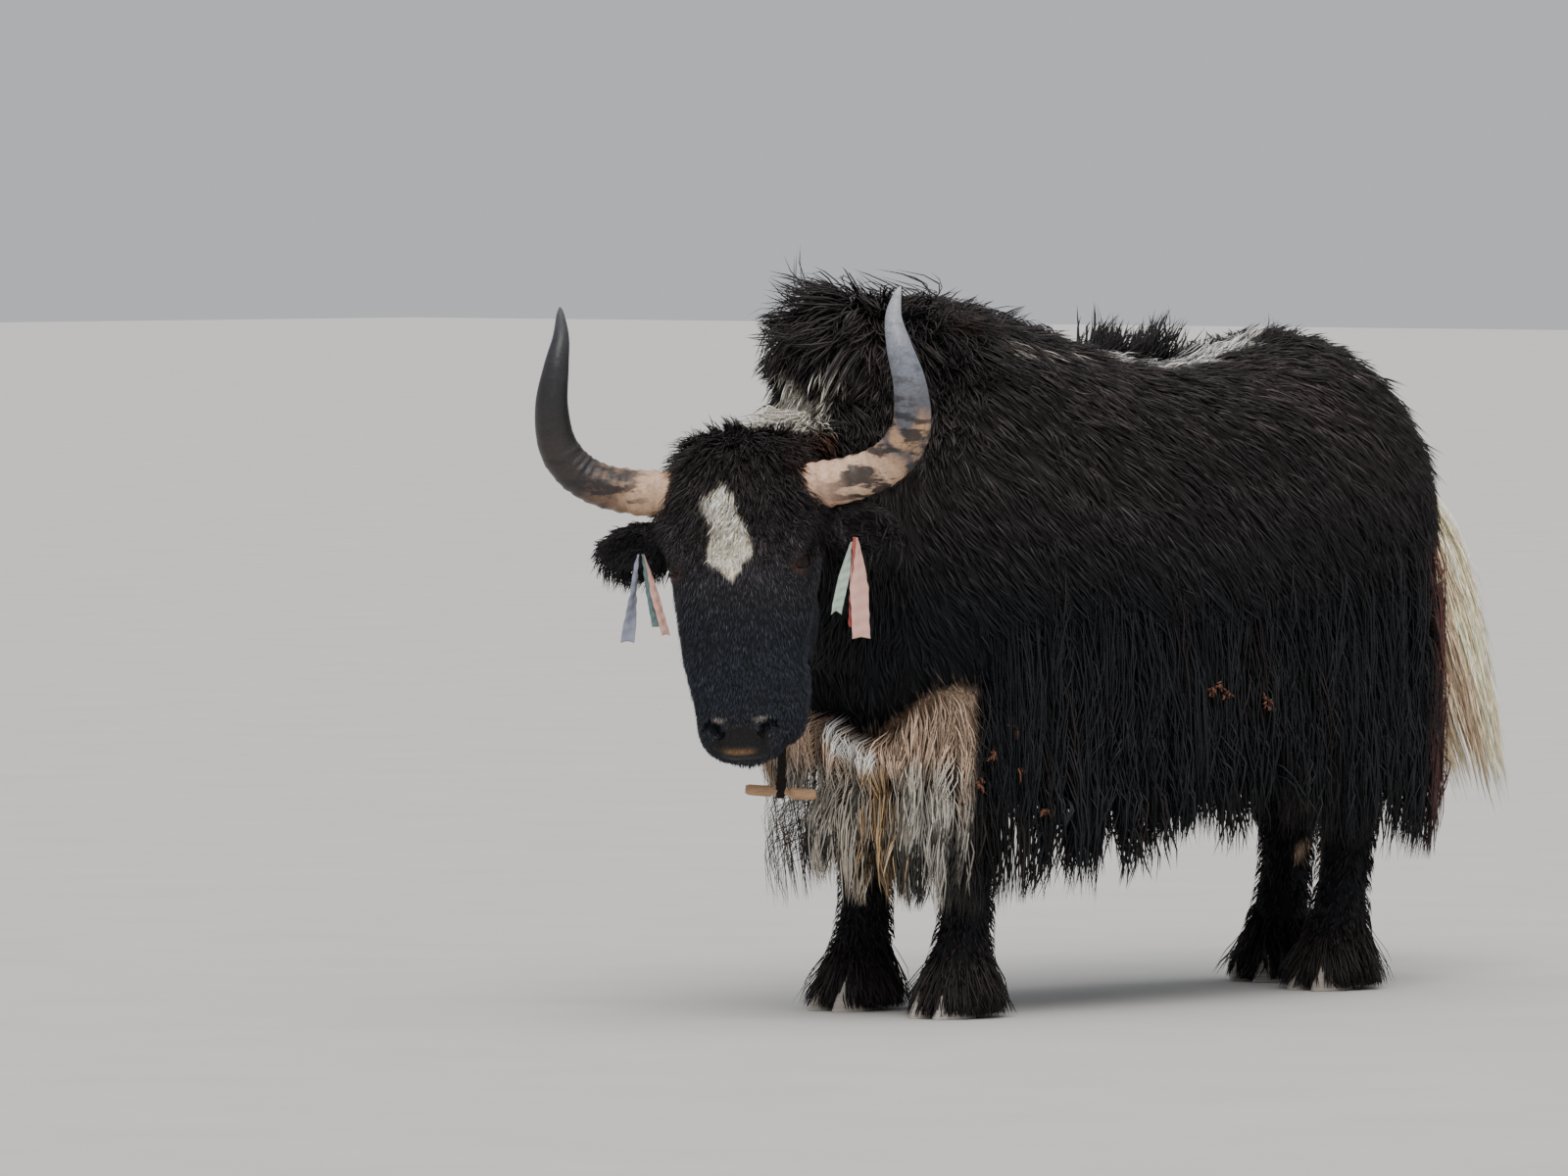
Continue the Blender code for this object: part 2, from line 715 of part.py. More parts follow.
# Each tier of hanging locks: where it is rooted and ends as a share of the hair's fall, the
# spacing of its locks, their width, and how far their middles and tips stand off the hair line.
Tier = namedtuple("Tier", "root end spacing width lift tip")
HANGING_TIERS = (
    Tier(0.00, 0.56, 0.160, 0.192, 0.020, 0.024),
    Tier(0.25, 0.80, 0.145, 0.178, 0.018, 0.016),
    Tier(0.47, 1.03, 0.128, 0.160, 0.004, -0.018),
)

# The trunk's regions along X: where each starts and ends, and the share of its triangles kept.
REGIONS = {
    "shoulder": (-0.90, SHOULDER_END, 0.75),
    "flank": (SHOULDER_END, HAUNCH_START, 0.78),
    "haunch": (HAUNCH_START, 0.90, 0.86),
}
TAIL_SHARE = 0.78
HEAD_SHARE = 0.7
NECK_SHARE = 0.9
LEG_SHARE = 0.7
LOCK_SINK = 0.018
LOCK_THICKNESS = 0.015
LOCK_CLEAR = 0.008
ALTERNATE_LIFT = 0.011


def hair_rows(side, start, end):
    """The hair line's rows between two places along the body, dense, with the direction outwards."""
    rows = smooth_rows(HAIR_LINE, 241)
    runs = np.gradient(rows[:, :2], axis=0)
    runs /= np.linalg.norm(runs, axis=1)[:, None]
    outward = np.column_stack([-runs[:, 1], runs[:, 0]])
    kept = (rows[:, 0] >= start) & (rows[:, 0] <= end)
    flip = np.array([1.0, side])
    found = [(row[:2] * flip, row[2], row[3], out * flip) for row, out in zip(rows[kept], outward[kept])]
    return found


def core(side, start, end, count, helpers):
    """The dense inner half of the hanging hair: a wall under the locks."""
    rows = hair_rows(side, start, end)
    rings = []
    for index in np.linspace(0, len(rows) - 1, count).astype(int):
        spot, high, low, outward = rows[index]
        ring = []
        for share, depth in ((0, 0.040), (0.6, 0.012), (1, 0.030), (1, 0.055), (0.6, 0.09), (0, 0.15)):
            place = spot - outward * depth
            ring.append(Vector((place[0], place[1], high + (low - high) * share * CORE_REACH)))
        rings.append(ring)
    return loft("core", rings, helpers)


def lock(route, across, width, helpers, profile=(0.45, 0.95, 0.85), thickness=LOCK_THICKNESS):
    """A flat tapering lock of hair along a route: its first point is its sunk root, its last its tip."""
    rings = []
    for i, point in enumerate(route[:-1]):
        along = (route[i + 1] - point).normalized()
        if i == 1:
            along = (route[2] - route[0]).normalized()
        flat = (across - along * across.dot(along)).normalized()
        out = flat.cross(along)
        wide = flat * (width / 2 * profile[i])
        thick = out * (thickness / 2)
        rings.append([point + wide, point + thick, point - wide, point - thick])
    rings.append([route[-1]] * 4)
    return loft("lock", rings, helpers, pointed=True)


def tree_of(objects):
    """A search tree over the faces of several objects."""
    points, faces = [], []
    for obj in objects:
        start = len(points)
        points += [vert.co.copy() for vert in obj.data.vertices]
        faces += [tuple(start + v for v in face.vertices) for face in obj.data.polygons]
    return BVHTree.FromPolygons(points, faces)


def hanging_locks(side, tree, helpers):
    """The tiers of long locks round one side, from the chest along the flank to the tail."""
    chance = random.Random(11 if side > 0 else 12)
    rows = hair_rows(side, -1, 1)
    steps = [0.0]
    for (first, *_), (second, *_) in zip(rows, rows[1:]):
        steps.append(steps[-1] + float(np.linalg.norm(second - first)))
    locks = []
    for tier in HANGING_TIERS:
        count = int(steps[-1] / tier.spacing)
        for k in range(count):
            place = (k + 0.5 + chance.uniform(-0.2, 0.2)) / count * steps[-1]
            spot, high, low, outward = rows[int(np.searchsorted(steps, place)) - 1]
            outward = Vector((outward[0], outward[1], 0))
            fall = high - low
            root_z = high - fall * (tier.root + chance.uniform(-0.05, 0.05))
            tip_z = max(low, high - fall * (tier.end + chance.uniform(-0.07, 0.06)))
            start = Vector((spot[0], spot[1], root_z)) + outward * 0.3
            hit, _, _, _ = tree.ray_cast(start, -outward)
            surface = hit if hit else Vector((spot[0], spot[1], root_z)) - outward * 0.05
            along = Vector((0, 0, 1)).cross(outward)
            drift = along * chance.uniform(-0.03, 0.03)
            lift = ALTERNATE_LIFT * (k % 2)
            drop = root_z - tip_z
            flank = Vector((surface.x, surface.y, 0))
            plane = Vector((spot[0], spot[1], 0)) - outward * 0.012
            if (plane - flank).dot(outward) < 0:
                plane = flank
            route = [
                flank - outward * LOCK_SINK + Vector((0, 0, root_z + 0.035)),
                flank.lerp(plane, 0.5) + outward * (LOCK_CLEAR + lift) + Vector((0, 0, root_z - 0.16 * drop)),
                plane + outward * (tier.lift + lift) + drift * 0.5 + Vector((0, 0, root_z - 0.62 * drop)),
                plane + outward * (tier.tip + lift) + drift + Vector((0, 0, tip_z)),
            ]
            wide = tier.width * chance.uniform(0.9, 1.1)
            locks.append(lock(route, along, wide, helpers))
    return locks


# Tufts that stand off the flesh: rows of roots over the hump, the crest of the neck and the poll.
Tuft = namedtuple("Tuft", "start aim across length lift width sag")


def tufts(tree, rows, seed, helpers):
    """Locks rooted where each row's ray meets the flesh, lying along its aim, lifted and sagging."""
    chance = random.Random(seed)
    locks = []
    for row in rows:
        start, inward = Vector(row.start), Vector(row.across)
        hit, normal, _, _ = tree.ray_cast(start, inward.normalized())
        if hit is None:
            continue
        if normal.dot(inward) > 0:
            normal = -normal
        aim = Vector(row.aim) + Vector([chance.uniform(-0.18, 0.18) for _ in range(3)])
        lie = (aim - normal * aim.dot(normal)).normalized()
        lift = row.lift * chance.uniform(0.8, 1.2)
        direction = (lie * math.cos(lift) + normal * math.sin(lift)).normalized()
        length = row.length * chance.uniform(0.85, 1.15)
        sag = Vector((0, 0, -row.sag * length))
        clear = normal * LOCK_CLEAR
        route = [
            hit - normal * LOCK_SINK - lie * 0.01,
            hit + clear + direction * (0.18 * length) + sag * 0.05,
            hit + clear + direction * (0.64 * length) + sag * 0.40,
            hit + clear + direction * length + sag,
        ]
        across = normal.cross(lie)
        wide = row.width * chance.uniform(0.9, 1.1)
        locks.append(lock(route, across, wide, helpers))
    return locks


# The full middles of the mane and of the poll's hair: a place and three half sizes each.
MANE_CORE = ((-0.745, 0, 1.230), (0.145, 0.130, 0.138))
THATCH = ((0.030, 0, -0.012), (0.085, 0.125, 0.095))
# The mane's rings of locks: their height round the hump in degrees, and their length.
MANE_RINGS = ((100, 0.16), (72, 0.17), (47, 0.18), (22, 0.18), (-3, 0.17))


def mane_rows(side):
    """The thick hair on the front and top of the hump, falling forward and outward from its top."""
    middle = Vector((-0.68, 0, 1.17))
    rows = []
    for ring, (angle, length) in enumerate(MANE_RINGS):
        rise = math.radians(angle)
        for swing in (8, 44, 80) if ring % 2 else (26, 62):
            turn = math.radians(side * swing)
            level = Vector((-math.cos(turn), math.sin(turn), 0))
            out = level * math.cos(rise) + Vector((0, 0, math.sin(rise)))
            if angle > 70:
                out = Vector((-math.cos(rise), math.sin(turn) * 0.45, math.sin(rise))).normalized()
            aim = Vector((-0.9, math.sin(turn) * 0.9, -0.35 if angle > 70 else -0.9))
            lift = math.radians(30 if angle > 30 else 24)
            rows.append(Tuft(middle + out * 0.8, aim, -out, length, lift, 0.150, 0.20))
    return rows


def crest_rows():
    """The hair along the top of the neck, behind the poll."""
    rows = []
    for x, reach in ((-0.93, 0.05), (-0.93, -0.05), (-0.98, 0.08), (-0.98, 0.0), (-0.98, -0.09)):
        aim = (-0.8, reach * 6, 0.2)
        rows.append(Tuft((x, reach, 1.6), aim, (0, 0, -1), 0.12, math.radians(30), 0.075, 0.2))
    for x, side in ((-0.93, 1), (-0.99, 1), (-0.93, -1), (-0.99, -1)):
        aim = (-0.3, side * 0.2, -1)
        rows.append(Tuft((x, side * 0.6, 1.02), aim, (0, -side, 0), 0.15, math.radians(14), 0.10, 0.1))
    return rows


def throat_rows():
    """The long hair under the neck, down to the chest."""
    rows = []
    for x in (-0.92, -0.98):
        for side in (-1, 1):
            aim = (0.2, 0, -1)
            rows.append(Tuft((x, side * 0.6, 0.84), aim, (0, -side, 0), 0.20, math.radians(10), 0.10, 0.1))
    return rows


def poll_rows():
    """The thick hair on the poll between the horns, in the head's frame."""
    rows = []
    for along, length, count in ((0.085, 0.090, 2), (0.045, 0.095, 3), (0.000, 0.095, 3), (-0.045, 0.080, 3)):
        for k in range(count):
            share = (k + 0.5) / count * 2 - 1
            inward = Vector((-0.3, 0, -0.5)) if along > 0.02 else Vector((-0.05, 0, -1))
            start = Vector((along, share * 0.105, 0.01)) - inward.normalized() * 0.3
            aim = Vector((0.5, share * 1.1, 0.6)) if along > 0.02 else Vector((-1, share * 0.9, 0))
            rows.append(Tuft(start, aim, inward, length, math.radians(9), 0.112, 0.0))
    return rows


def build_trunk_node(name, flesh, side, region, forms, neighbours, parts, helpers):
    """A piece of the trunk between two planes across the body, with the hair that it carries."""
    node = copy_of(flesh, name, parts)
    front, back, share = region
    under = [beyond((0, 0, LEG_CUT + GAP), (0, 0, -1), helpers)]
    foremost, hindmost = front < SHOULDER_END, back > HAUNCH_START
    if foremost:
        under.append(beyond(*NECK_CUT, helpers, CLEAR_OF_SEAT))
    cut(node, under)
    joined(node, forms)
    reduced(node, share)
    cutters = [beyond((0, 0, 0), (0, -side, 0), helpers)]
    if not foremost:
        cutters.append(beyond((front, 0, 0), (-1, 0, 0), helpers))
    if not hindmost:
        cutters.append(beyond((back, 0, 0), (1, 0, 0), helpers))
    cut(node, cutters)
    return clear_of(node, neighbours, helpers)


# The tail's fleshy core: place, half width and half depth.
TAIL = (
    (0.70, -0.010, 1.030, 0.050, 0.050),
    (0.785, -0.018, 1.030, 0.050, 0.048),
    (0.832, -0.028, 0.970, 0.048, 0.044),
    (0.858, -0.040, 0.880, 0.048, 0.042),
    (0.878, -0.054, 0.780, 0.044, 0.038),
    (0.892, -0.066, 0.680, 0.030, 0.028),
)
TAIL_TIP = Vector((0.955, -0.135, 0.335))


def tail_locks(helpers):
    """The tail's long hair: rings of locks from its core, gathered towards the tip."""
    chance = random.Random(21)
    locks = []
    route = smooth_path([row[:3] for row in TAIL], 40)
    for level, (place, length) in enumerate(((0.38, 0.36), (0.64, 0.39), (0.92, 0.37))):
        centre = route[int(place * 39)]
        for k in range(4):
            turn = 2 * math.pi * (k + 0.5 * (level % 2)) / 4
            out = Vector((math.cos(turn), math.sin(turn), 0))
            across = Vector((-math.sin(turn), math.cos(turn), 0))
            end_z = max(centre.z - length * chance.uniform(0.92, 1.06), TAIL_TIP.z)
            share = (1.0 - end_z) / (1.0 - TAIL_TIP.z)
            axis = Vector((0.86, -0.03, 1.0)).lerp(TAIL_TIP, share)
            spread = 0.120 - 0.075 * share
            tip = Vector((axis.x, axis.y, end_z)) + out * spread * chance.uniform(0.7, 1.1)
            bulge = 0.050 - 0.012 * level
            way = [
                centre + out * 0.022,
                centre.lerp(tip, 0.16) + out * (0.030 + bulge * 0.6),
                centre.lerp(tip, 0.60) + out * bulge,
                tip,
            ]
            locks.append(lock(way, across, 0.115 - 0.008 * level, helpers))
    return locks


def build_tail(neighbours, parts, helpers):
    """The tail: its core and the long hair that hides it."""
    rows = smooth_rows(TAIL, 11)
    route = [Vector(row[:3]) for row in rows]
    tail = tube("tail", route, [tuple(row[3:]) for row in rows], 10, parts, up=Vector((1, 0, 0)))
    joined(tail, tail_locks(helpers))
    reduced(tail, TAIL_SHARE)
    return clear_of(tail, neighbours, helpers)


# The ear ribbons: both ends of each, its width and how far it is turned, in degrees.
Ribbon = namedtuple("Ribbon", "slot top low width turn")
RIBBONS = {
    "ribbon_left_pink": Ribbon("pink_cloth", (-1.002, -0.248, 0.925), (-0.997, -0.253, 0.727), 0.040, 35),
    "ribbon_left_red": Ribbon("red_cloth", (-1.010, -0.246, 0.925), (-1.010, -0.240, 0.747), 0.014, 80),
    "ribbon_left_mint": Ribbon("mint_cloth", (-1.018, -0.240, 0.925), (-1.032, -0.222, 0.774), 0.022, 30),
    "ribbon_right_blue": Ribbon("blue_cloth", (-1.232, 0.092, 0.880), (-1.243, 0.110, 0.717), 0.026, 30),
    "ribbon_right_teal": Ribbon("teal_cloth", (-1.224, 0.088, 0.880), (-1.208, 0.070, 0.745), 0.016, 45),
    "ribbon_right_pink": Ribbon("pink_cloth", (-1.228, 0.082, 0.880), (-1.196, 0.056, 0.730), 0.020, 15),
}
RIBBON_THICKNESS = 0.0016
RIBBON_ACROSS = Vector((0.5, -0.85, 0)).normalized()

# How wide a ribbon is down its fall: a share of its length, and of its width.
RIBBON_WIDTHS = ((0, 0.35), (0.12, 0.45), (0.3, 0.8), (0.5, 1.0), (0.75, 0.95), (1.0, 1.0))


def build_ribbon(name, parts):
    """A strip of cloth that hangs straight, narrow at its knot."""
    ribbon = RIBBONS[name]
    top, low = Vector(ribbon.top), Vector(ribbon.low)
    across = Matrix.Rotation(math.radians(ribbon.turn), 3, "Z") @ RIBBON_ACROSS
    out = across.cross(Vector((0, 0, 1)))
    rings = []
    for share, wide in RIBBON_WIDTHS:
        spot = top.lerp(low, share)
        reach = across * (ribbon.width * wide / 2)
        thick = out * (RIBBON_THICKNESS / 2)
        rings.append([spot - reach - thick, spot + reach - thick, spot + reach + thick, spot - reach + thick])
    return loft(name, rings, parts)


STRAP_TOP = Vector((-0.932, 0.0, 0.685))
TOGGLE_MIDDLE = Vector((-0.936, 0.006, 0.4300))
TOGGLE_ALONG = Vector((0.655, -0.752, -0.08)).normalized()
TOGGLE_HALF = 0.0665

# The bar's radius along it: a share of its half length, and the radius there.
TOGGLE_RADII = (
    (-1, 0.0080),
    (-0.9, 0.0105),
    (-0.30, 0.0112),
    (-0.22, 0.0062),
    (0.22, 0.0062),
    (0.30, 0.0112),
    (0.9, 0.0105),
    (1, 0.0080),
)


def build_toggle(parts):
    """A whittled bar with a waist where the strap goes round it."""
    route = [TOGGLE_MIDDLE + TOGGLE_ALONG * (TOGGLE_HALF * share) for share, _ in TOGGLE_RADII]
    return tube("toggle_bar", route, [(radius, radius) for _, radius in TOGGLE_RADII], 8, parts)


# The strap's run: how far down it is, and its thickness there as a share of its half thickness.
STRAP_RUN = ((0.0, 1.0), (0.25, 0.96), (0.5, 1.04), (0.85, 1.0), (0.93, 1.35), (1.0, 1.40), (1.045, 1.0))
STRAP_HALF = 0.0085


def build_strap(toggle, parts, helpers):
    """The strap from under the throat down to its loop round the bar: a curve made solid."""
    curve = bpy.data.curves.new("strap_run", "CURVE")
    curve.dimensions = "3D"
    curve.bevel_depth = STRAP_HALF
    curve.bevel_resolution = 2
    curve.use_fill_caps = True
    spline = curve.splines.new("POLY")
    spline.points.add(len(STRAP_RUN) - 1)
    for point, (down, thick) in zip(spline.points, STRAP_RUN):
        point.co = (*STRAP_TOP.lerp(TOGGLE_MIDDLE, down), 1.0)
        point.radius = thick
    run = bpy.data.objects.new("strap_run", curve)
    helpers.objects.link(run)
    bpy.context.view_layer.update()
    graph = bpy.context.evaluated_depsgraph_get()
    bm = bmesh.new()
    bm.from_mesh(bpy.data.meshes.new_from_object(run.evaluated_get(graph)))
    bmesh.ops.remove_doubles(bm, verts=bm.verts, dist=0.00001)
    remove(run)
    return clear_of(mesh_object("toggle_strap", bm, parts), [toggle], helpers)


def stand_over_origin(nodes):
    """Moves all the nodes so that the middle of their outline from above is over the origin."""
    points = [vert.co for node in nodes for vert in node.data.vertices]
    middle = Vector(
        [(min(p[axis] for p in points) + max(p[axis] for p in points)) / 2 for axis in (0, 1)] + [0]
    )
    for node in nodes:
        node.data.transform(Matrix.Translation(-middle))


def build_head_group(parts, helpers):
    """The head with its eyes, horns and ears: the head, the horns and ears, and every dressed node."""
    head, eyes = build_head(parts, helpers)
    dressed = [(build_eye(word, place, parts), "eye") for word, place in eyes.items()]
    bare = copy_of(head, "bare_head", helpers)
    bare.data.transform(HEAD_FRAME)
    horns = [build_horn(word, bare, parts, helpers) for word in eyes]
    ears = [build_ear(word, bare, parts, helpers) for word in eyes]
    for ear, horn in zip(ears, horns):
        clear_of(ear, [horn], helpers)
    remove(bare)
    thatch = ellipsoid("thatch", *THATCH, helpers, detail=12)
    joined(head, [thatch] + tufts(tree_of([head, thatch]), poll_rows(), 31, helpers))
    reduced(head, HEAD_SHARE)
    open_features(head, eyes, helpers)
    head.data.transform(HEAD_FRAME)
    cut(head, [beyond(HEAD_CUT[0], -HEAD_CUT[1], helpers)])
    clear_of(head, horns + ears, helpers, GAP)
    dressed += [(horn, "horn") for horn in horns]
    dressed += [(ear, "black_coat") for ear in ears]
    dressed.append((head, "black_coat"))
    return head, horns + ears, dressed


def build_neck(flesh, near, parts, helpers):
    """The neck between the head and the shoulders, with its crest and its throat's hair."""
    neck = copy_of(flesh, "neck", parts)
    cut(neck, [beyond(*HEAD_CUT, helpers, CLEAR_OF_SEAT)])
    joined(neck, tufts(tree_of([flesh]), crest_rows() + throat_rows(), 44, helpers))
    reduced(neck, NECK_SHARE)
    cut(neck, [beyond(NECK_CUT[0], -NECK_CUT[1], helpers)])
    return clear_of(neck, near, helpers)


def build_legs(flesh, parts, helpers):
    """The four lower legs by name, and every dressed node of theirs."""
    legs, dressed = {}, []
    for name, foot in FEET.items():
        side = 1 if "right" in name else -1
        claws = [
            build_claw(f"hoof_{name}_{word}", foot, side, word == "inner", parts)
            for word in ("inner", "outer")
        ]
        legs[name] = build_leg(name, flesh, claws, parts, helpers)
        dressed += [(claw, "hoof") for claw in claws] + [(legs[name], "black_coat")]
    return legs, dressed


def hair_of_region(name, side, flesh, helpers):
    """The forms that a region of the trunk carries: the core of its hair, and the locks over it."""
    front, back, _ = REGIONS[name]
    forms = [core(side, front - 0.04, back + 0.04, 9, helpers)]
    hair = hanging_locks(side, tree_of([flesh] + forms), helpers)
    if name == "shoulder":
        forms.append(ellipsoid("mane_core", *MANE_CORE, helpers, detail=12))
        hair += tufts(tree_of([flesh, forms[1]]), mane_rows(side), 61, helpers)
    for piece in hair:
        xs = [vert.co.x for vert in piece.data.vertices]
        if max(xs) > front and min(xs) < back:
            forms.append(piece)
        else:
            remove(piece)
    return forms


def build_trunk(flesh, legs, before, parts, helpers):
    """The shoulders, flanks and haunches by name. The nodes in before lie against the shoulders."""
    trunk = {}
    for word, side in (("left", -1), ("right", 1)):
        neighbours = {
            "shoulder": [legs["front_" + word]] + before,
            "flank": [],
            "haunch": [legs["rear_" + word]],
        }
        for region, span in REGIONS.items():
            name = f"{region}_{word}"
            forms = hair_of_region(region, side, flesh, helpers)
            trunk[name] = build_trunk_node(
                name, flesh, side, span, forms, neighbours[region], parts, helpers
            )
    return trunk


def build_ribbons(near, parts, helpers):
    """Every ribbon with its slot, each clear of the ears and of the ribbons before it."""
    hung = []
    for name, ribbon in RIBBONS.items():
        piece = build_ribbon(name, parts)
        clear_of(piece, near + [other for other, _ in hung], helpers)
        hung.append((piece, ribbon.slot))
    return hung


def main():
    """Builds every node of the yak."""
    clear_scene()
    parts = named_collection("yak")
    helpers = named_collection("helpers")
    helpers.hide_render = True

    head, horns_and_ears, dressed = build_head_group(parts, helpers)
    ears = horns_and_ears[len(horns_and_ears) // 2 :]
    flesh = build_flesh(parts, helpers)
    neck = build_neck(flesh, [head] + horns_and_ears, parts, helpers)
    legs, lower = build_legs(flesh, parts, helpers)
    trunk = build_trunk(flesh, legs, [neck, head] + horns_and_ears, parts, helpers)
    tail = build_tail([trunk["haunch_left"], trunk["haunch_right"]], parts, helpers)
    remove(flesh)
    dressed += lower + [(node, "black_coat") for node in (neck, *trunk.values())]
    dressed.append((tail, "white_coat"))

    dressed += build_ribbons([head] + ears, parts, helpers)
    toggle = build_toggle(parts)
    strap = build_strap(toggle, parts, helpers)
    clear_of(strap, [neck, trunk["shoulder_left"], trunk["shoulder_right"]], helpers)
    dressed += [(toggle, "wood"), (strap, "strap")]
    stand_over_origin([obj for obj, _ in dressed])
    for obj, slot in dressed:
        finish(obj, slot)
    bpy.data.collections.remove(helpers)


main()
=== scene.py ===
"""Dresses a life-size standing yak bull for a museum hall.

One skin stands for the flesh and solid tufts of hair lie over it. The horns, hooves, eyes, ear
ribbons and throat toggle are pieces of their own. Sizes are in metres, the yak faces -X, its left
side is -Y and it stands on Z = 0.
"""

import json
import logging
import math
from collections.abc import Callable, Sequence
from dataclasses import dataclass, field
from enum import Enum
from typing import ClassVar, NamedTuple

import bmesh
import bpy
import numpy as np
from mathutils import Matrix, Vector
from mathutils.bvhtree import BVHTree
from mathutils.kdtree import KDTree

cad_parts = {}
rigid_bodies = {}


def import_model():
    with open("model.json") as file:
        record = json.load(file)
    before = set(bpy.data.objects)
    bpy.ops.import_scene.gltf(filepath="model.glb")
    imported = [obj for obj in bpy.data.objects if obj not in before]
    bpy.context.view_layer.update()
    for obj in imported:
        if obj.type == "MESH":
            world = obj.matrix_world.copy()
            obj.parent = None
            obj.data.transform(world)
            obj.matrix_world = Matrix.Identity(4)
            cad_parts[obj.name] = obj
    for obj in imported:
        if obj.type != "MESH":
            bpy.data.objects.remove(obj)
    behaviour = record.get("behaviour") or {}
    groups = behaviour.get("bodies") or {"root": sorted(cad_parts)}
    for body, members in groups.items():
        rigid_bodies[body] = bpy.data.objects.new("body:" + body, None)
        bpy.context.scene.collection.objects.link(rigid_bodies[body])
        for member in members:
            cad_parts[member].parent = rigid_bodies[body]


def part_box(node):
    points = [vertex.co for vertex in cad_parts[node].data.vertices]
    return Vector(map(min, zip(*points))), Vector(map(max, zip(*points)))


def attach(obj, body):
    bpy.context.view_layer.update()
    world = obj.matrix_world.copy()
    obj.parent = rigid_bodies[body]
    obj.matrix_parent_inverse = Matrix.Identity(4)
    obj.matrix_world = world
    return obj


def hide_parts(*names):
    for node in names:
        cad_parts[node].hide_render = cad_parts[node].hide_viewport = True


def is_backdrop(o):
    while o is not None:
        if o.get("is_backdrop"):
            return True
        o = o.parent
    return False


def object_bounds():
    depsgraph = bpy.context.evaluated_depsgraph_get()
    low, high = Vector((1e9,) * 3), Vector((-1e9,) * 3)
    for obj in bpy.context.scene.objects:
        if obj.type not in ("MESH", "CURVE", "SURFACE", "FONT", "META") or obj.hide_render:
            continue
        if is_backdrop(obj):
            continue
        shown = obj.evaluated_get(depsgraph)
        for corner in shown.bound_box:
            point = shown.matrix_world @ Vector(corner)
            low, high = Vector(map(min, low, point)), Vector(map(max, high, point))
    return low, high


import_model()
CAD_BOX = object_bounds()

Array = np.ndarray
Colour = tuple[float, float, float]
Point = tuple[float, float, float]
Rows = Sequence[Sequence[float]]
Stops = Sequence[tuple[float, Sequence[float]]]
Sown = tuple[Array, Array, Array]
Tone = Callable[[Array], Array]
Chance = np.random.Generator
Thing = bpy.types.Object
Finish = bpy.types.Material
Socket = bpy.types.NodeSocket

log = logging.getLogger("yak")


class Side(Enum):
    """The yak's own sides: the value is the sign of Y."""

    LEFT = -1
    RIGHT = 1

    @property
    def label(self) -> str:
        """The side's word in the names of pieces."""
        return self.name.lower()


class Foot(Enum):
    """Where each foot stands on the floor."""

    FRONT_RIGHT = (-0.556, 0.145)
    FRONT_LEFT = (-0.594, -0.145)
    REAR_RIGHT = (0.645, 0.125)
    REAR_LEFT = (0.52, -0.13)

    @property
    def side(self) -> int:
        """The sign of Y of the foot's side."""
        return 1 if self.value[1] > 0 else -1

    @property
    def label(self) -> str:
        """The foot's name in the solids."""
        return self.name.lower()


class Section(NamedTuple):
    """An upright outline of the trunk, neck or skull."""

    at: float
    across: float
    top: float
    bottom: float
    half_width: float
    widest: float
    ridge: float


class LegSection(NamedTuple):
    """A level outline of a leg over its foot."""

    height: float
    ahead: float
    outward: float
    half_length: float
    half_width: float


HOOF_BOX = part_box("hoof_front_left_outer")
# That claw's lowest corner in the sizes below, which give places before the solids were centred.
HOOF_CORNER = (-0.71, -0.203)
OFFSET = Vector((HOOF_BOX[0].x - HOOF_CORNER[0], HOOF_BOX[0].y - HOOF_CORNER[1], 0.0))
HEAD_PLACE = Vector((-1.105, -0.048, 1.0))
HEAD_LEVEL = Matrix.Translation(HEAD_PLACE) @ Matrix.Rotation(math.radians(32.5), 4, "Z")
HEAD_LEVEL = HEAD_LEVEL @ Matrix.Rotation(math.radians(-3.5), 4, "X")
HEAD_FRAME = HEAD_LEVEL @ Matrix.Rotation(math.radians(-72), 4, "Y")
HEAD_INVERSE = HEAD_FRAME.inverted()
LEVEL_INVERSE = HEAD_LEVEL.inverted()
# The length of one wave in the long hair.
SHORT_WAVE = 0.16

# Each row of the next three is a Section. The skull's rows are in the head's frame.
TRUNK = (
    (-0.895, 0, 1.12, 0.76, 0.08, 0.92, 1.0), (-0.85, 0, 1.235, 0.64, 0.15, 0.9, 1.1),
    (-0.77, 0, 1.325, 0.54, 0.225, 0.86, 1.2), (-0.6, 0, 1.365, 0.48, 0.3, 0.82, 1.25),
    (-0.45, 0, 1.355, 0.465, 0.325, 0.82, 1.25), (-0.3, 0, 1.318, 0.46, 0.345, 0.82, 1.2),
    (-0.1, 0, 1.262, 0.46, 0.37, 0.83, 1.05), (0.1, 0, 1.24, 0.462, 0.375, 0.84, 0.95),
    (0.3, 0, 1.262, 0.48, 0.35, 0.86, 0.95), (0.45, 0, 1.29, 0.51, 0.315, 0.9, 1.0),
    (0.6, 0, 1.262, 0.57, 0.28, 0.92, 1.0), (0.72, 0, 1.17, 0.66, 0.225, 0.92, 1.0),
    (0.79, 0, 1.05, 0.78, 0.13, 0.92, 1.0),
)
NECK = (
    (-0.6, 0.0, 1.24, 0.56, 0.235, 0.9, 1.0), (-0.75, 0.0, 1.235, 0.6, 0.205, 0.9, 1.0),
    (-0.87, 0.0, 1.165, 0.66, 0.175, 0.9, 1.0), (-0.98, -0.01, 1.1, 0.71, 0.155, 0.9, 1.0),
    (-1.05, -0.02, 1.06, 0.75, 0.135, 0.9, 1.0),
)
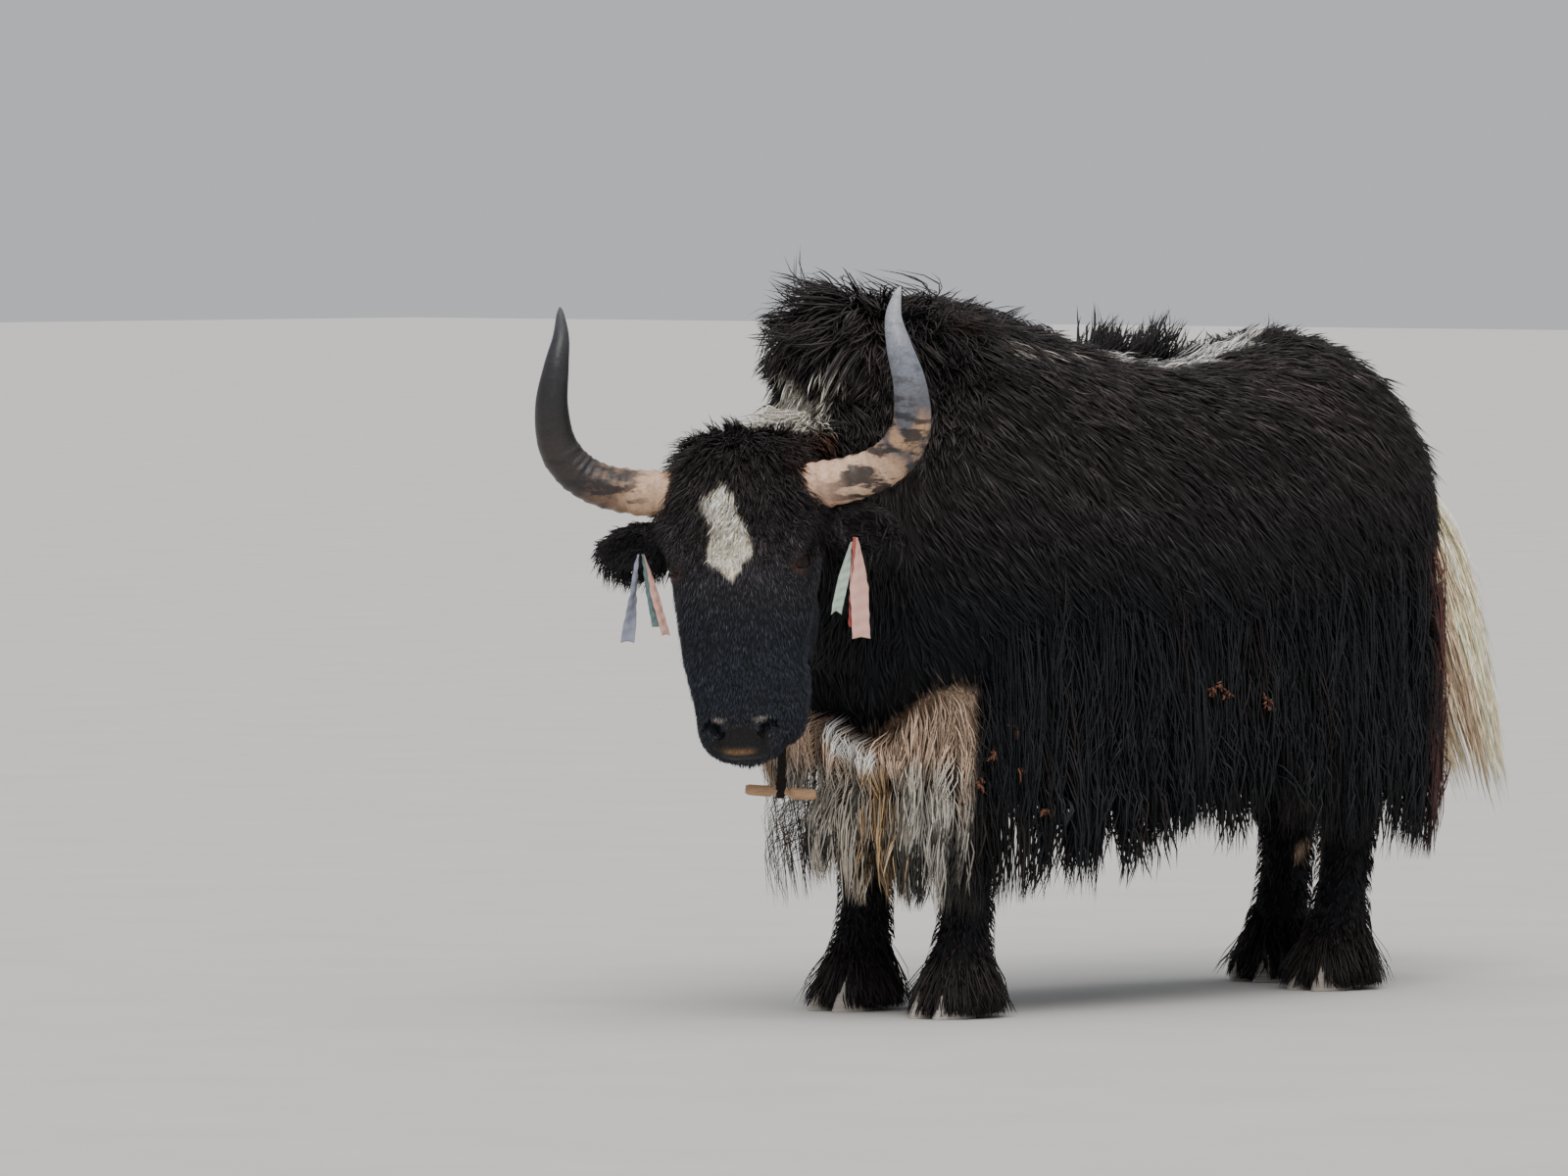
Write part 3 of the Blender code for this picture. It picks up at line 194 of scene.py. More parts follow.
SKULL = (
    (0.1, 0, 0.01, -0.13, 0.1, -0.05, 1.0), (0.04, 0, 0.055, -0.15, 0.13, -0.04, 0.8),
    (-0.04, 0, 0.072, -0.175, 0.142, -0.03, 0.7), (-0.11, 0, 0.072, -0.185, 0.146, -0.03, 0.7),
    (-0.18, 0, 0.06, -0.18, 0.136, -0.04, 0.7), (-0.25, 0, 0.046, -0.16, 0.126, -0.04, 0.7),
    (-0.31, 0, 0.034, -0.13, 0.118, -0.04, 0.75), (-0.37, 0, 0.024, -0.105, 0.104, -0.04, 0.75),
    (-0.42, 0, 0.016, -0.096, 0.092, -0.04, 0.75), (-0.46, 0, 0.006, -0.092, 0.086, -0.04, 0.75),
    (-0.492, 0, -0.012, -0.09, 0.07, -0.045, 0.8), (-0.508, 0, -0.03, -0.074, 0.044, -0.05, 0.9),
)
# Each row of the next two is a LegSection.
FRONT_LEG = (
    (0.78, 0.03, 0.04, 0.15, 0.105), (0.66, 0.03, 0.025, 0.13, 0.1), (0.54, 0.02, 0.012, 0.095, 0.082),
    (0.44, 0.01, 0.005, 0.076, 0.07), (0.34, 0.0, 0.0, 0.062, 0.059), (0.23, 0.01, 0.0, 0.051, 0.05),
    (0.14, 0.0, 0.0, 0.056, 0.056), (0.08, -0.012, 0.0, 0.072, 0.068), (0.045, -0.018, 0.0, 0.08, 0.074),
)
REAR_LEG = (
    (0.9, -0.04, 0.05, 0.19, 0.11), (0.74, -0.02, 0.04, 0.17, 0.105), (0.6, 0.0, 0.02, 0.13, 0.085),
    (0.5, 0.035, 0.008, 0.094, 0.07), (0.42, 0.045, 0.0, 0.074, 0.06), (0.32, 0.03, 0.0, 0.06, 0.055),
    (0.22, 0.012, 0.0, 0.054, 0.052), (0.14, 0.0, 0.0, 0.06, 0.058), (0.08, -0.012, 0.0, 0.074, 0.07),
    (0.045, -0.018, 0.0, 0.08, 0.076),
)
# Each row: X and Y of the hanging hair's outer face, its highest root and its lowest tip.
HAIR_LINE = (
    (-0.862, 0.0, 0.67, 0.25), (-0.845, 0.1, 0.7, 0.23), (-0.79, 0.19, 0.78, 0.22), (-0.68, 0.27, 0.82, 0.22),
    (-0.5, 0.32, 0.8, 0.235), (-0.3, 0.345, 0.8, 0.24), (-0.1, 0.365, 0.8, 0.31), (0.1, 0.37, 0.8, 0.325),
    (0.3, 0.35, 0.8, 0.3), (0.45, 0.32, 0.82, 0.29), (0.6, 0.285, 0.84, 0.275), (0.72, 0.235, 0.84, 0.275),
    (0.795, 0.15, 0.84, 0.3), (0.825, 0.05, 0.84, 0.36),
)
# Each row of the tail's core: its place and its two half sizes.
TAIL = (
    (0.7, -0.01, 1.03, 0.05, 0.05),
    (0.785, -0.018, 1.03, 0.05, 0.048),
    (0.832, -0.028, 0.97, 0.048, 0.044),
    (0.858, -0.04, 0.88, 0.048, 0.042),
    (0.878, -0.054, 0.78, 0.044, 0.038),
    (0.892, -0.066, 0.68, 0.03, 0.028),
)
TAIL_TIP = Vector((0.955, -0.135, 0.335))


def rows_through(rows: Rows, count: int) -> Array:
    """Samples a smooth curve through rows of numbers.

    Args:
        rows: The known rows.
        count: How many rows to return.

    Returns:
        The rows, spread evenly from the first to the last.
    """
    known = np.array(rows, float)
    padded = np.vstack([2 * known[0] - known[1], known, 2 * known[-1] - known[-2]])
    places = np.linspace(0, len(known) - 1, count)
    starts = np.minimum(places.astype(int), len(known) - 2)
    t = (places - starts)[:, None]
    before, near, far, after = (padded[starts + i] for i in range(4))
    bend = (2 * before - 5 * near + 4 * far - after) * t**2
    twist = (3 * near - before - 3 * far + after) * t**3
    return 0.5 * (2 * near + (far - before) * t + bend + twist)


def unit(vectors: Array) -> Array:
    """Scales rows of vectors to length one."""
    return vectors / np.maximum(np.linalg.norm(vectors, axis=-1, keepdims=True), 1e-9)


def ramp(values: Array, low: float, high: float) -> Array:
    """Rises smoothly from 0 at low to 1 at high."""
    share = np.clip((values - low) / (high - low), 0, 1)
    return share * share * (3 - 2 * share)


def dapple(points: Array, scale: float, seed: int) -> Array:
    """A smooth random field in space.

    Args:
        points: Places, one a row.
        scale: The size of its blotches in metres.
        seed: Which field.

    Returns:
        A value from about -1 to 1 for each place.
    """
    chance = np.random.default_rng(seed)
    total = np.zeros(len(points))
    for octave, strength in ((1.0, 1.0), (2.1, 0.5), (4.3, 0.3)):
        waves = unit(chance.normal(size=(7, 3))) * (2.6 * octave / scale)
        total += strength * np.sin(points @ waves.T + chance.uniform(0, 6.28, 7)).mean(axis=1)
    return total * 1.6


def far_from(points: Array, centre: Sequence[float], sizes: Sequence[float] = (1, 1, 1)) -> Array:
    """How far places lie from a centre, as a share of an egg's half sizes."""
    return np.linalg.norm((points - np.array(centre)) / sizes, axis=1)


def rows_of(*columns: Array | float) -> Array:
    """Stacks columns and single numbers into rows."""
    return np.stack(np.broadcast_arrays(*columns), axis=1)


def head_places(points: Array, frame_inverse: Matrix = HEAD_INVERSE) -> Array:
    """Turns body places into the head's frame: along, across and up."""
    turn = np.array(frame_inverse)
    return points @ turn[:3, :3].T + turn[:3, 3]


def turned(directions: Array, place: Matrix) -> Array:
    """Turns directions from a frame's own into the body's."""
    return directions @ np.array(place)[:3, :3].T


def circle(count: int) -> list[float]:
    """The angles of points spread evenly round a ring."""
    return [2 * math.pi * k / count for k in range(count)]


def linked(name: str, data: bpy.types.ID) -> Thing:
    """Makes an object of its data and links it to the scene."""
    made = bpy.data.objects.new(name, data)
    bpy.context.scene.collection.objects.link(made)
    return made


def new_object(name: str, bm: bmesh.types.BMesh) -> Thing:
    """Makes an object of a bmesh with its faces turned outwards.

    Args:
        name: The object's name.
        bm: Its mesh, which is freed.

    Returns:
        The object, linked to the scene.
    """
    bmesh.ops.recalc_face_normals(bm, faces=bm.faces)
    mesh = bpy.data.meshes.new(name)
    bm.to_mesh(mesh)
    bm.free()
    return linked(name, mesh)


def loft(name: str, rings: Sequence[Sequence[Vector]], pointed: bool = False) -> Thing:
    """Skins rings of equally many points.

    Args:
        name: The object's name.
        rings: Rings of points.
        pointed: Whether the last ring closes to its middle.

    Returns:
        The closed object.
    """
    bm = bmesh.new()
    loops = [[bm.verts.new(point) for point in ring] for ring in (rings[:-1] if pointed else rings)]
    count = len(loops[0])
    for first, second in zip(loops, loops[1:]):
        for i in range(count):
            j = (i + 1) % count
            bm.faces.new((first[i], first[j], second[j], second[i]))
    bm.faces.new(list(reversed(loops[0])))
    if pointed:
        tip = bm.verts.new(sum((Vector(p) for p in rings[-1]), Vector()) / count)
        for i in range(count):
            bm.faces.new((loops[-1][i], loops[-1][(i + 1) % count], tip))
    else:
        bm.faces.new(loops[-1])
    return new_object(name, bm)


def section_loft(name: str, sections: Rows, steps: int, count: int) -> Thing:
    """A closed loft through upright sections.

    Args:
        name: The object's name.
        sections: Rows that are each a Section.
        steps: How many rings are made.
        count: How many points a ring has.

    Returns:
        The closed object.
    """
    rings = []
    for row in rows_through(sections, steps):
        part = Section(*row)
        ring = []
        for angle in circle(count):
            side, rise = math.cos(angle), math.sin(angle)
            tall = part.top - part.widest if rise > 0 else part.widest - part.bottom
            power = part.ridge if rise > 0 else 0.85
            wide = math.copysign(abs(side) ** power, side) * part.half_width
            ring.append(Vector((part.at, part.across + wide, part.widest + tall * rise)))
        rings.append(ring)
    return loft(name, rings)


def tube(
    name: str,
    route: Sequence[Vector],
    sizes: Sequence[tuple[float, float]],
    count: int,
    up: Vector = Vector((0, 0, 1)),
    pointed: bool = False,
) -> Thing:
    """A tube along a route.

    Args:
        name: The object's name.
        route: The points of its middle line.
        sizes: Its half sizes across and out of the route at each point.
        count: How many sides it has.
        up: A direction that is never along the route.
        pointed: Whether it ends in a point.

    Returns:
        The closed object.
    """
    rings = []
    for i, (point, size) in enumerate(zip(route, sizes)):
        along = route[min(i + 1, len(route) - 1)] - route[max(i - 1, 0)]
        across = along.cross(up).normalized()
        out = across.cross(along).normalized()
        wide, tall = size
        rings.append([point + across * (wide * math.cos(a)) + out * (tall * math.sin(a)) for a in circle(count)])
    return loft(name, rings, pointed)


def ball(
    name: str, centre: Sequence[float], sizes: Sequence[float], turn: Matrix | None = None, detail: int = 32
) -> Thing:
    """A ball stretched to three half sizes.

    Args:
        name: The object's name.
        centre: Its middle.
        sizes: Its half sizes.
        turn: How it is turned, if at all.
        detail: How many segments it has round it.

    Returns:
        The closed object.
    """
    bm = bmesh.new()
    bmesh.ops.create_uvsphere(bm, u_segments=detail, v_segments=detail // 2, radius=1.0)
    shape = Matrix.Translation(centre) @ (turn or Matrix.Identity(4)) @ Matrix.Diagonal((*sizes, 1.0))
    bmesh.ops.transform(bm, matrix=shape, verts=bm.verts)
    return new_object(name, bm)


def settle(obj: Thing) -> Thing:
    """Makes the object's mesh what its modifiers make of it."""
    bpy.context.view_layer.update()
    graph = bpy.context.evaluated_depsgraph_get()
    mesh = bpy.data.meshes.new_from_object(obj.evaluated_get(graph))
    obj.modifiers.clear()
    obj.data = mesh
    return obj


def discard(objects: Sequence[Thing]) -> None:
    """Deletes helper objects."""
    for obj in objects:
        bpy.data.objects.remove(obj, do_unlink=True)


def soften(name: str, pieces: Sequence[Thing], voxel: float, passes: int) -> Thing:
    """Melts overlapping pieces into one soft body.

    Args:
        name: The body's name.
        pieces: Closed helpers, which are deleted.
        voxel: The size of its quads.
        passes: How many times it is smoothed.

    Returns:
        The body.
    """
    bm = bmesh.new()
    for piece in pieces:
        bm.from_mesh(piece.data)
    obj = new_object(name, bm)
    discard(pieces)
    merged = obj.modifiers.new("Merge", "REMESH")
    merged.mode = "VOXEL"
    merged.voxel_size = voxel
    smoothing = obj.modifiers.new("Soften", "SMOOTH")
    smoothing.factor = 0.5
    smoothing.iterations = passes
    return settle(obj)


def combine(obj: Thing, operation: str, others: Sequence[Thing]) -> Thing:
    """Applies one Boolean with closed helpers, which are deleted.

    Args:
        obj: The object that is changed.
        operation: UNION or DIFFERENCE.
        others: The helpers.

    Returns:
        The object.
    """
    group = bpy.data.collections.new("operands")
    bpy.context.scene.collection.children.link(group)
    for other in others:
        bpy.context.scene.collection.objects.unlink(other)
        group.objects.link(other)
    change = obj.modifiers.new(operation.title(), "BOOLEAN")
    change.operation = operation
    change.operand_type = "COLLECTION"
    change.collection = group
    change.solver = "MANIFOLD"
    settle(obj)
    discard(list(group.objects))
    bpy.data.collections.remove(group)
    return obj


def vertex_places(mesh: bpy.types.Mesh, what: str = "co") -> Array:
    """Reads a mesh's points or normals.

    Args:
        mesh: The mesh.
        what: co or normal.

    Returns:
        One row for each vertex.
    """
    found = np.empty(len(mesh.vertices) * 3, np.float32)
    mesh.vertices.foreach_get(what, found)
    return found.reshape(-1, 3).astype(float)


def place_vertices(mesh: bpy.types.Mesh, points: Array) -> None:
    """Writes a mesh's points."""
    mesh.vertices.foreach_set("co", points.astype(np.float32).ravel())
    mesh.update()


def paint(mesh: bpy.types.Mesh, name: str, values: Array) -> None:
    """Stores a colour or a number for each vertex.

    Args:
        mesh: The mesh.
        name: The attribute's name.
        values: Rows of three for a colour, or single numbers.
    """
    if values.ndim == 1:
        mesh.attributes.new(name, "FLOAT", "POINT").data.foreach_set("value", values.astype(np.float32))
        return
    full = np.ones((len(values), 4), np.float32)
    full[:, :3] = values
    mesh.attributes.new(name, "FLOAT_COLOR", "POINT").data.foreach_set("color", full.ravel())


def hand_over(obj: Thing, slot: str, material: Finish, *stands_for: str) -> Thing:
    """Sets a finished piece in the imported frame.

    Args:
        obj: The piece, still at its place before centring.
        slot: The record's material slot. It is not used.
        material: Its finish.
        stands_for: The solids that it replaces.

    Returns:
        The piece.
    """
    obj.data.transform(Matrix.Translation(OFFSET))
    obj.data.materials.clear()
    obj.data.materials.append(material)
    obj.data.shade_smooth()
    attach(obj, "root")
    if stands_for:
        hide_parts(*stands_for)
    log.info("%s: %d faces", obj.name, len(obj.data.polygons))
    return obj


class Nodes:
    """Builds the shader nodes of one finish."""

    def __init__(self, name: str) -> None:
        """Starts a finish of that name."""
        self.material = bpy.data.materials.new(name)
        self.material.use_nodes = True
        self.tree = self.material.node_tree
        self.shader = self.tree.nodes["Principled BSDF"]

    def add(self, kind: str, inputs: dict[str | int, object] | None = None, **settings: object) -> bpy.types.Node:
        """Adds a node.

        Args:
            kind: Its type without ShaderNode.
            inputs: Values or outputs for its sockets.
            settings: Its own properties.

        Returns:
            The node.
        """
        node = self.tree.nodes.new("ShaderNode" + kind)
        for key, value in settings.items():
            setattr(node, key, value)
        for key, value in (inputs or {}).items():
            self.feed(node.inputs[key], value)
        return node

    def feed(self, socket: Socket, value: object) -> None:
        """Links an output to a socket, or sets the socket's value."""
        if isinstance(value, Socket):
            self.tree.links.new(value, socket)
        else:
            socket.default_value = value

    def surface(self, **values: object) -> None:
        """Sets the shader's sockets by name, with _ for a space."""
        for key, value in values.items():
            self.feed(self.shader.inputs[key.replace("_", " ")], value)

    def places(self, scale: Point = (1, 1, 1)) -> Socket:
        """The object's own coordinates, scaled."""
        source = self.add("TexCoord").outputs["Object"]
        return self.add("Mapping", {"Vector": source, "Scale": scale}).outputs[0]

    def noise(self, scale: float, stretch: Point = (1, 1, 1), detail: float = 4.0) -> Socket:
        """A noise from 0 to 1, with so many blotches a metre."""
        found = self.add("TexNoise", {"Vector": self.places(stretch), "Scale": scale, "Detail": detail})
        return found.outputs["Fac"]

    def attribute(self, name: str, output: str = "Color") -> Socket:
        """A value stored with the mesh."""
        return self.add("Attribute", attribute_name=name).outputs[output]

    def blend(self, share: object, first: object, second: object, how: str = "MIX") -> Socket:
        """Mixes a share of the second colour into the first."""
        return self.add("MixRGB", {"Fac": share, "Color1": first, "Color2": second}, blend_type=how).outputs[0]

    def steps(self, share: Socket, stops: Stops) -> Socket:
        """Turns a number into a colour.

        Args:
            share: The number, from 0 to 1.
            stops: Places and colours.

        Returns:
            The colour.
        """
        node = self.add("ValToRGB", {"Fac": share})
        marks = node.color_ramp.elements
        while len(marks) < len(stops):
            marks.new(0.5)
        for mark, (place, colour) in zip(marks, stops):
            mark.position = place
            mark.color = (*colour, 1.0)
        return node.outputs[0]

    def greys(self, share: Socket, *stops: tuple[float, float]) -> Socket:
        """Turns a number into a grey, by places and brightnesses."""
        return self.steps(share, [(place, (value,) * 3) for place, value in stops])

    def maths(self, operation: str, first: Socket, second: object) -> Socket:
        """Adds or multiplies two numbers."""
        return self.add("Math", {0: first, 1: second}, operation=operation).outputs[0]

    def level(self, share: Socket, low: float, high: float) -> Socket:
        """Maps 0 to 1 onto low to high."""
        return self.add("MapRange", {"Value": share, "To Min": low, "To Max": high}).outputs[0]

    def bump(self, height: Socket, depth: float, strength: float = 1.0) -> Socket:
        """The normal of a surface raised by a height map, where 1 stands depth metres high."""
        return self.add("Bump", {"Height": height, "Distance": depth, "Strength": strength}).outputs[0]


@dataclass(frozen=True)
class HairFinish:
    """The finish of the hair: each tuft's own colour, darker and lighter along it."""

    name: str
    roughness: float = 0.5
    shine: float = 0.32
    sheen: float = 0.015
    sheen_tint: Colour = (0.55, 0.62, 0.8)

    def material(self) -> Finish:
        """Makes the material."""
        nodes = Nodes(self.name)
        grain = nodes.noise(220.0, (1, 1, 0.2), 3.0)
        shade = nodes.greys(grain, (0.25, 0.62), (0.75, 1.45))
        colour = nodes.blend(1.0, nodes.attribute("Coat"), shade, "MULTIPLY")
        nodes.surface(
            Base_Color=colour,
            Roughness=nodes.level(grain, self.roughness - 0.08, self.roughness + 0.14),
            Specular_IOR_Level=self.shine,
            Sheen_Weight=self.sheen,
            Sheen_Tint=(*self.sheen_tint, 1.0),
            Normal=nodes.bump(grain, 0.0006, 0.5),
        )
        return nodes.material


@dataclass(frozen=True)
class SkinFinish:
    """The finish of the skin: flat short fur, and bare pebbled hide on the nose and lids."""

    name: str = "short_fur_and_hide"

    def material(self) -> Finish:
        """Makes the material."""
        nodes = Nodes(self.name)
        bare = nodes.attribute("Bare", "Fac")
        fur = nodes.noise(420.0, (1, 1, 0.14), 5.0)
        cells = nodes.add("TexVoronoi", {"Vector": nodes.places(), "Scale": 330.0}, feature="DISTANCE_TO_EDGE")
        pebbles = nodes.add("MapRange", {"Value": cells.outputs["Distance"], "From Max": 0.25}).outputs[0]
        shade = nodes.greys(fur, (0.3, 0.35), (0.7, 1.6))
        colour = nodes.blend(1.0, nodes.attribute("Coat"), shade, "MULTIPLY")
        raised = {"Height": pebbles, "Distance": 0.0006, "Strength": nodes.maths("MULTIPLY", bare, 0.8)}
        hide = nodes.add("Bump", {**raised, "Normal": nodes.bump(fur, 0.0026, 1.0)}).outputs[0]
        rough = nodes.level(bare, 0.72, 0.4)
        nodes.surface(Base_Color=colour, Roughness=rough, Specular_IOR_Level=0.22, Normal=hide)
        return nodes.material


@dataclass(frozen=True)
class HornFinish:
    """The finish of a horn: its colours from the base to the tip, with growth rings and dark mottles."""

    name: str
    stops: Stops
    mottle: Colour = (0.013, 0.011, 0.012)

    def material(self) -> Finish:
        """Makes the material."""
        nodes = Nodes(self.name)
        along = nodes.attribute("Along", "Fac")
        wander = nodes.level(nodes.noise(15.0, (1, 1, 0.5), 6.0), -0.14, 0.14)
        colour = nodes.steps(nodes.maths("ADD", along, wander), self.stops)
        slant = {"Vector": nodes.places(), "Rotation": (0.75, 0.25, 0.2), "Scale": (1.1, 0.8, 2.6)}
        slanted = nodes.add("Mapping", slant).outputs[0]
        speckle = {"Vector": slanted, "Scale": 17.0, "Detail": 8.0, "Roughness": 0.58}
        blotch = nodes.add("TexNoise", speckle).outputs["Fac"]
        spots = nodes.greys(blotch, (0.5, 0), (0.57, 1))
        middle = nodes.greys(along, (0.08, 0), (0.22, 0.92), (0.5, 0.92), (0.7, 0.2))
        colour = nodes.blend(nodes.maths("MULTIPLY", spots, middle), colour, (*self.mottle, 1.0))
        fine = nodes.noise(160.0, detail=5.0)
        shade = nodes.steps(fine, ((0.3, (1.25, 1.25, 1.25)), (0.7, (2.15, 2.2, 2.3))))
        colour = nodes.blend(0.55, colour, shade, "MULTIPLY")
        rings = nodes.maths("MULTIPLY", nodes.attribute("Grain", "Fac"), 0.5)
        height = nodes.maths("ADD", rings, fine)
        nodes.surface(
            Base_Color=colour,
            Roughness=nodes.level(fine, 0.32, 0.52),
            Specular_IOR_Level=0.38,
            Coat_Weight=0.08,
            Coat_Roughness=0.25,
            Normal=nodes.bump(height, 0.0012, 0.6),
        )
        return nodes.material


@dataclass(frozen=True)
class HoofFinish:
    """The finish of a hoof: grey horn with level growth lines and dust at the edge."""

    name: str = "hoof_horn"

    def material(self) -> Finish:
        """Makes the material."""
        nodes = Nodes(self.name)
        lines = nodes.noise(60.0, (0.3, 0.3, 6.0), 4.0)
        colour = nodes.steps(lines, ((0.25, (0.16, 0.145, 0.14)), (0.55, (0.36, 0.34, 0.33)), (0.8, (0.5, 0.46, 0.43))))
        dust = nodes.noise(45.0)
        colour = nodes.blend(nodes.level(dust, 0.0, 0.5), colour, (0.42, 0.33, 0.22, 1.0))
        nodes.surface(Base_Color=colour, Roughness=nodes.level(dust, 0.45, 0.75), Normal=nodes.bump(lines, 0.0014, 0.8))
        return nodes.material


@dataclass(frozen=True)
class EyeFinish:
    """The finish of a wet eye: its painted iris under a clear coat."""

    name: str = "wet_eye"

    def material(self) -> Finish:
        """Makes the material."""
        nodes = Nodes(self.name)
        fibres = nodes.noise(900.0, (1, 1, 1), 3.0)
        shade = nodes.greys(fibres, (0.3, 0.7), (0.7, 1.3))
        colour = nodes.blend(0.7, nodes.attribute("Coat"), shade, "MULTIPLY")
        nodes.surface(
            Base_Color=colour, Roughness=0.16, Specular_IOR_Level=0.14, Coat_Weight=0.1, Coat_Roughness=0.05,
            Normal=nodes.bump(fibres, 0.0002, 0.2),
        )
        return nodes.material


@dataclass(frozen=True)
class ClothFinish:
    """The finish of a ribbon: a fine plain weave, faded and soiled."""

    name: str
    colour: Colour
    faded: Colour

    def material(self) -> Finish:
        """Makes the material."""
        nodes = Nodes(self.name)
        wear = nodes.noise(38.0, (1, 1, 1), 5.0)
        threads = {"Vector": nodes.places(), "Scale": 260.0, "Distortion": 1.2}
        both = [nodes.add("TexWave", threads, bands_direction=way).outputs["Color"] for way in ("Z", "DIAGONAL")]
        weave = nodes.blend(0.5, *both)
        colour = nodes.blend(nodes.level(wear, -0.2, 1.1), (*self.colour, 1.0), (*self.faded, 1.0))
        colour = nodes.blend(0.35, colour, weave, "MULTIPLY")
        height = nodes.add("SeparateColor", {"Color": weave}).outputs[0]
        nodes.surface(Base_Color=colour, Roughness=0.78, Sheen_Weight=0.25, Normal=nodes.bump(height, 0.0004, 0.5))
        return nodes.material


@dataclass(frozen=True)
class WoodFinish:
    """The finish of the toggle bar: bare whittled wood with a long grain."""

    name: str = "whittled_wood"

    def material(self) -> Finish:
        """Makes the material."""
        nodes = Nodes(self.name)
        along = nodes.attribute("Along", "Fac")
        place = nodes.add("CombineXYZ", {"X": along, "Y": nodes.attribute("Grain", "Fac"), "Z": 0.0}).outputs[0]
        grain = nodes.add("TexNoise", {"Vector": place, "Scale": 9.0, "Detail": 6.0, "Distortion": 0.6}).outputs["Fac"]
        patch = nodes.noise(60.0)
        shades = ((0.3, (0.3, 0.155, 0.075)), (0.55, (0.52, 0.31, 0.17)), (0.75, (0.64, 0.43, 0.26)))
        colour = nodes.steps(grain, shades)
        colour = nodes.blend(nodes.level(patch, 0.0, 0.45), colour, (0.3, 0.17, 0.09, 1.0))
        nodes.surface(Base_Color=colour, Roughness=nodes.level(grain, 0.5, 0.72), Normal=nodes.bump(grain, 0.0008, 0.7))
        return nodes.material


@dataclass(frozen=True)
class StrapFinish:
    """The finish of the plaited strap: greasy dark wool."""

    name: str = "plaited_wool"

    def material(self) -> Finish:
        """Makes the material."""
        nodes = Nodes(self.name)
        fibre = nodes.noise(500.0, (1, 1, 0.3), 5.0)
        colour = nodes.steps(fibre, ((0.3, (0.004, 0.0035, 0.0035)), (0.7, (0.018, 0.014, 0.012))))
        rough = nodes.level(fibre, 0.65, 0.9)
        nodes.surface(Base_Color=colour, Roughness=rough, Specular_IOR_Level=0.2, Normal=nodes.bump(fibre, 0.0009, 0.9))
        return nodes.material


class Patch(NamedTuple):
    """An egg-shaped marking in the coat: place, half sizes, colour and how ragged its edge is."""

    centre: Point
    sizes: Point
    colour: Colour
    ragged: float = 0.35


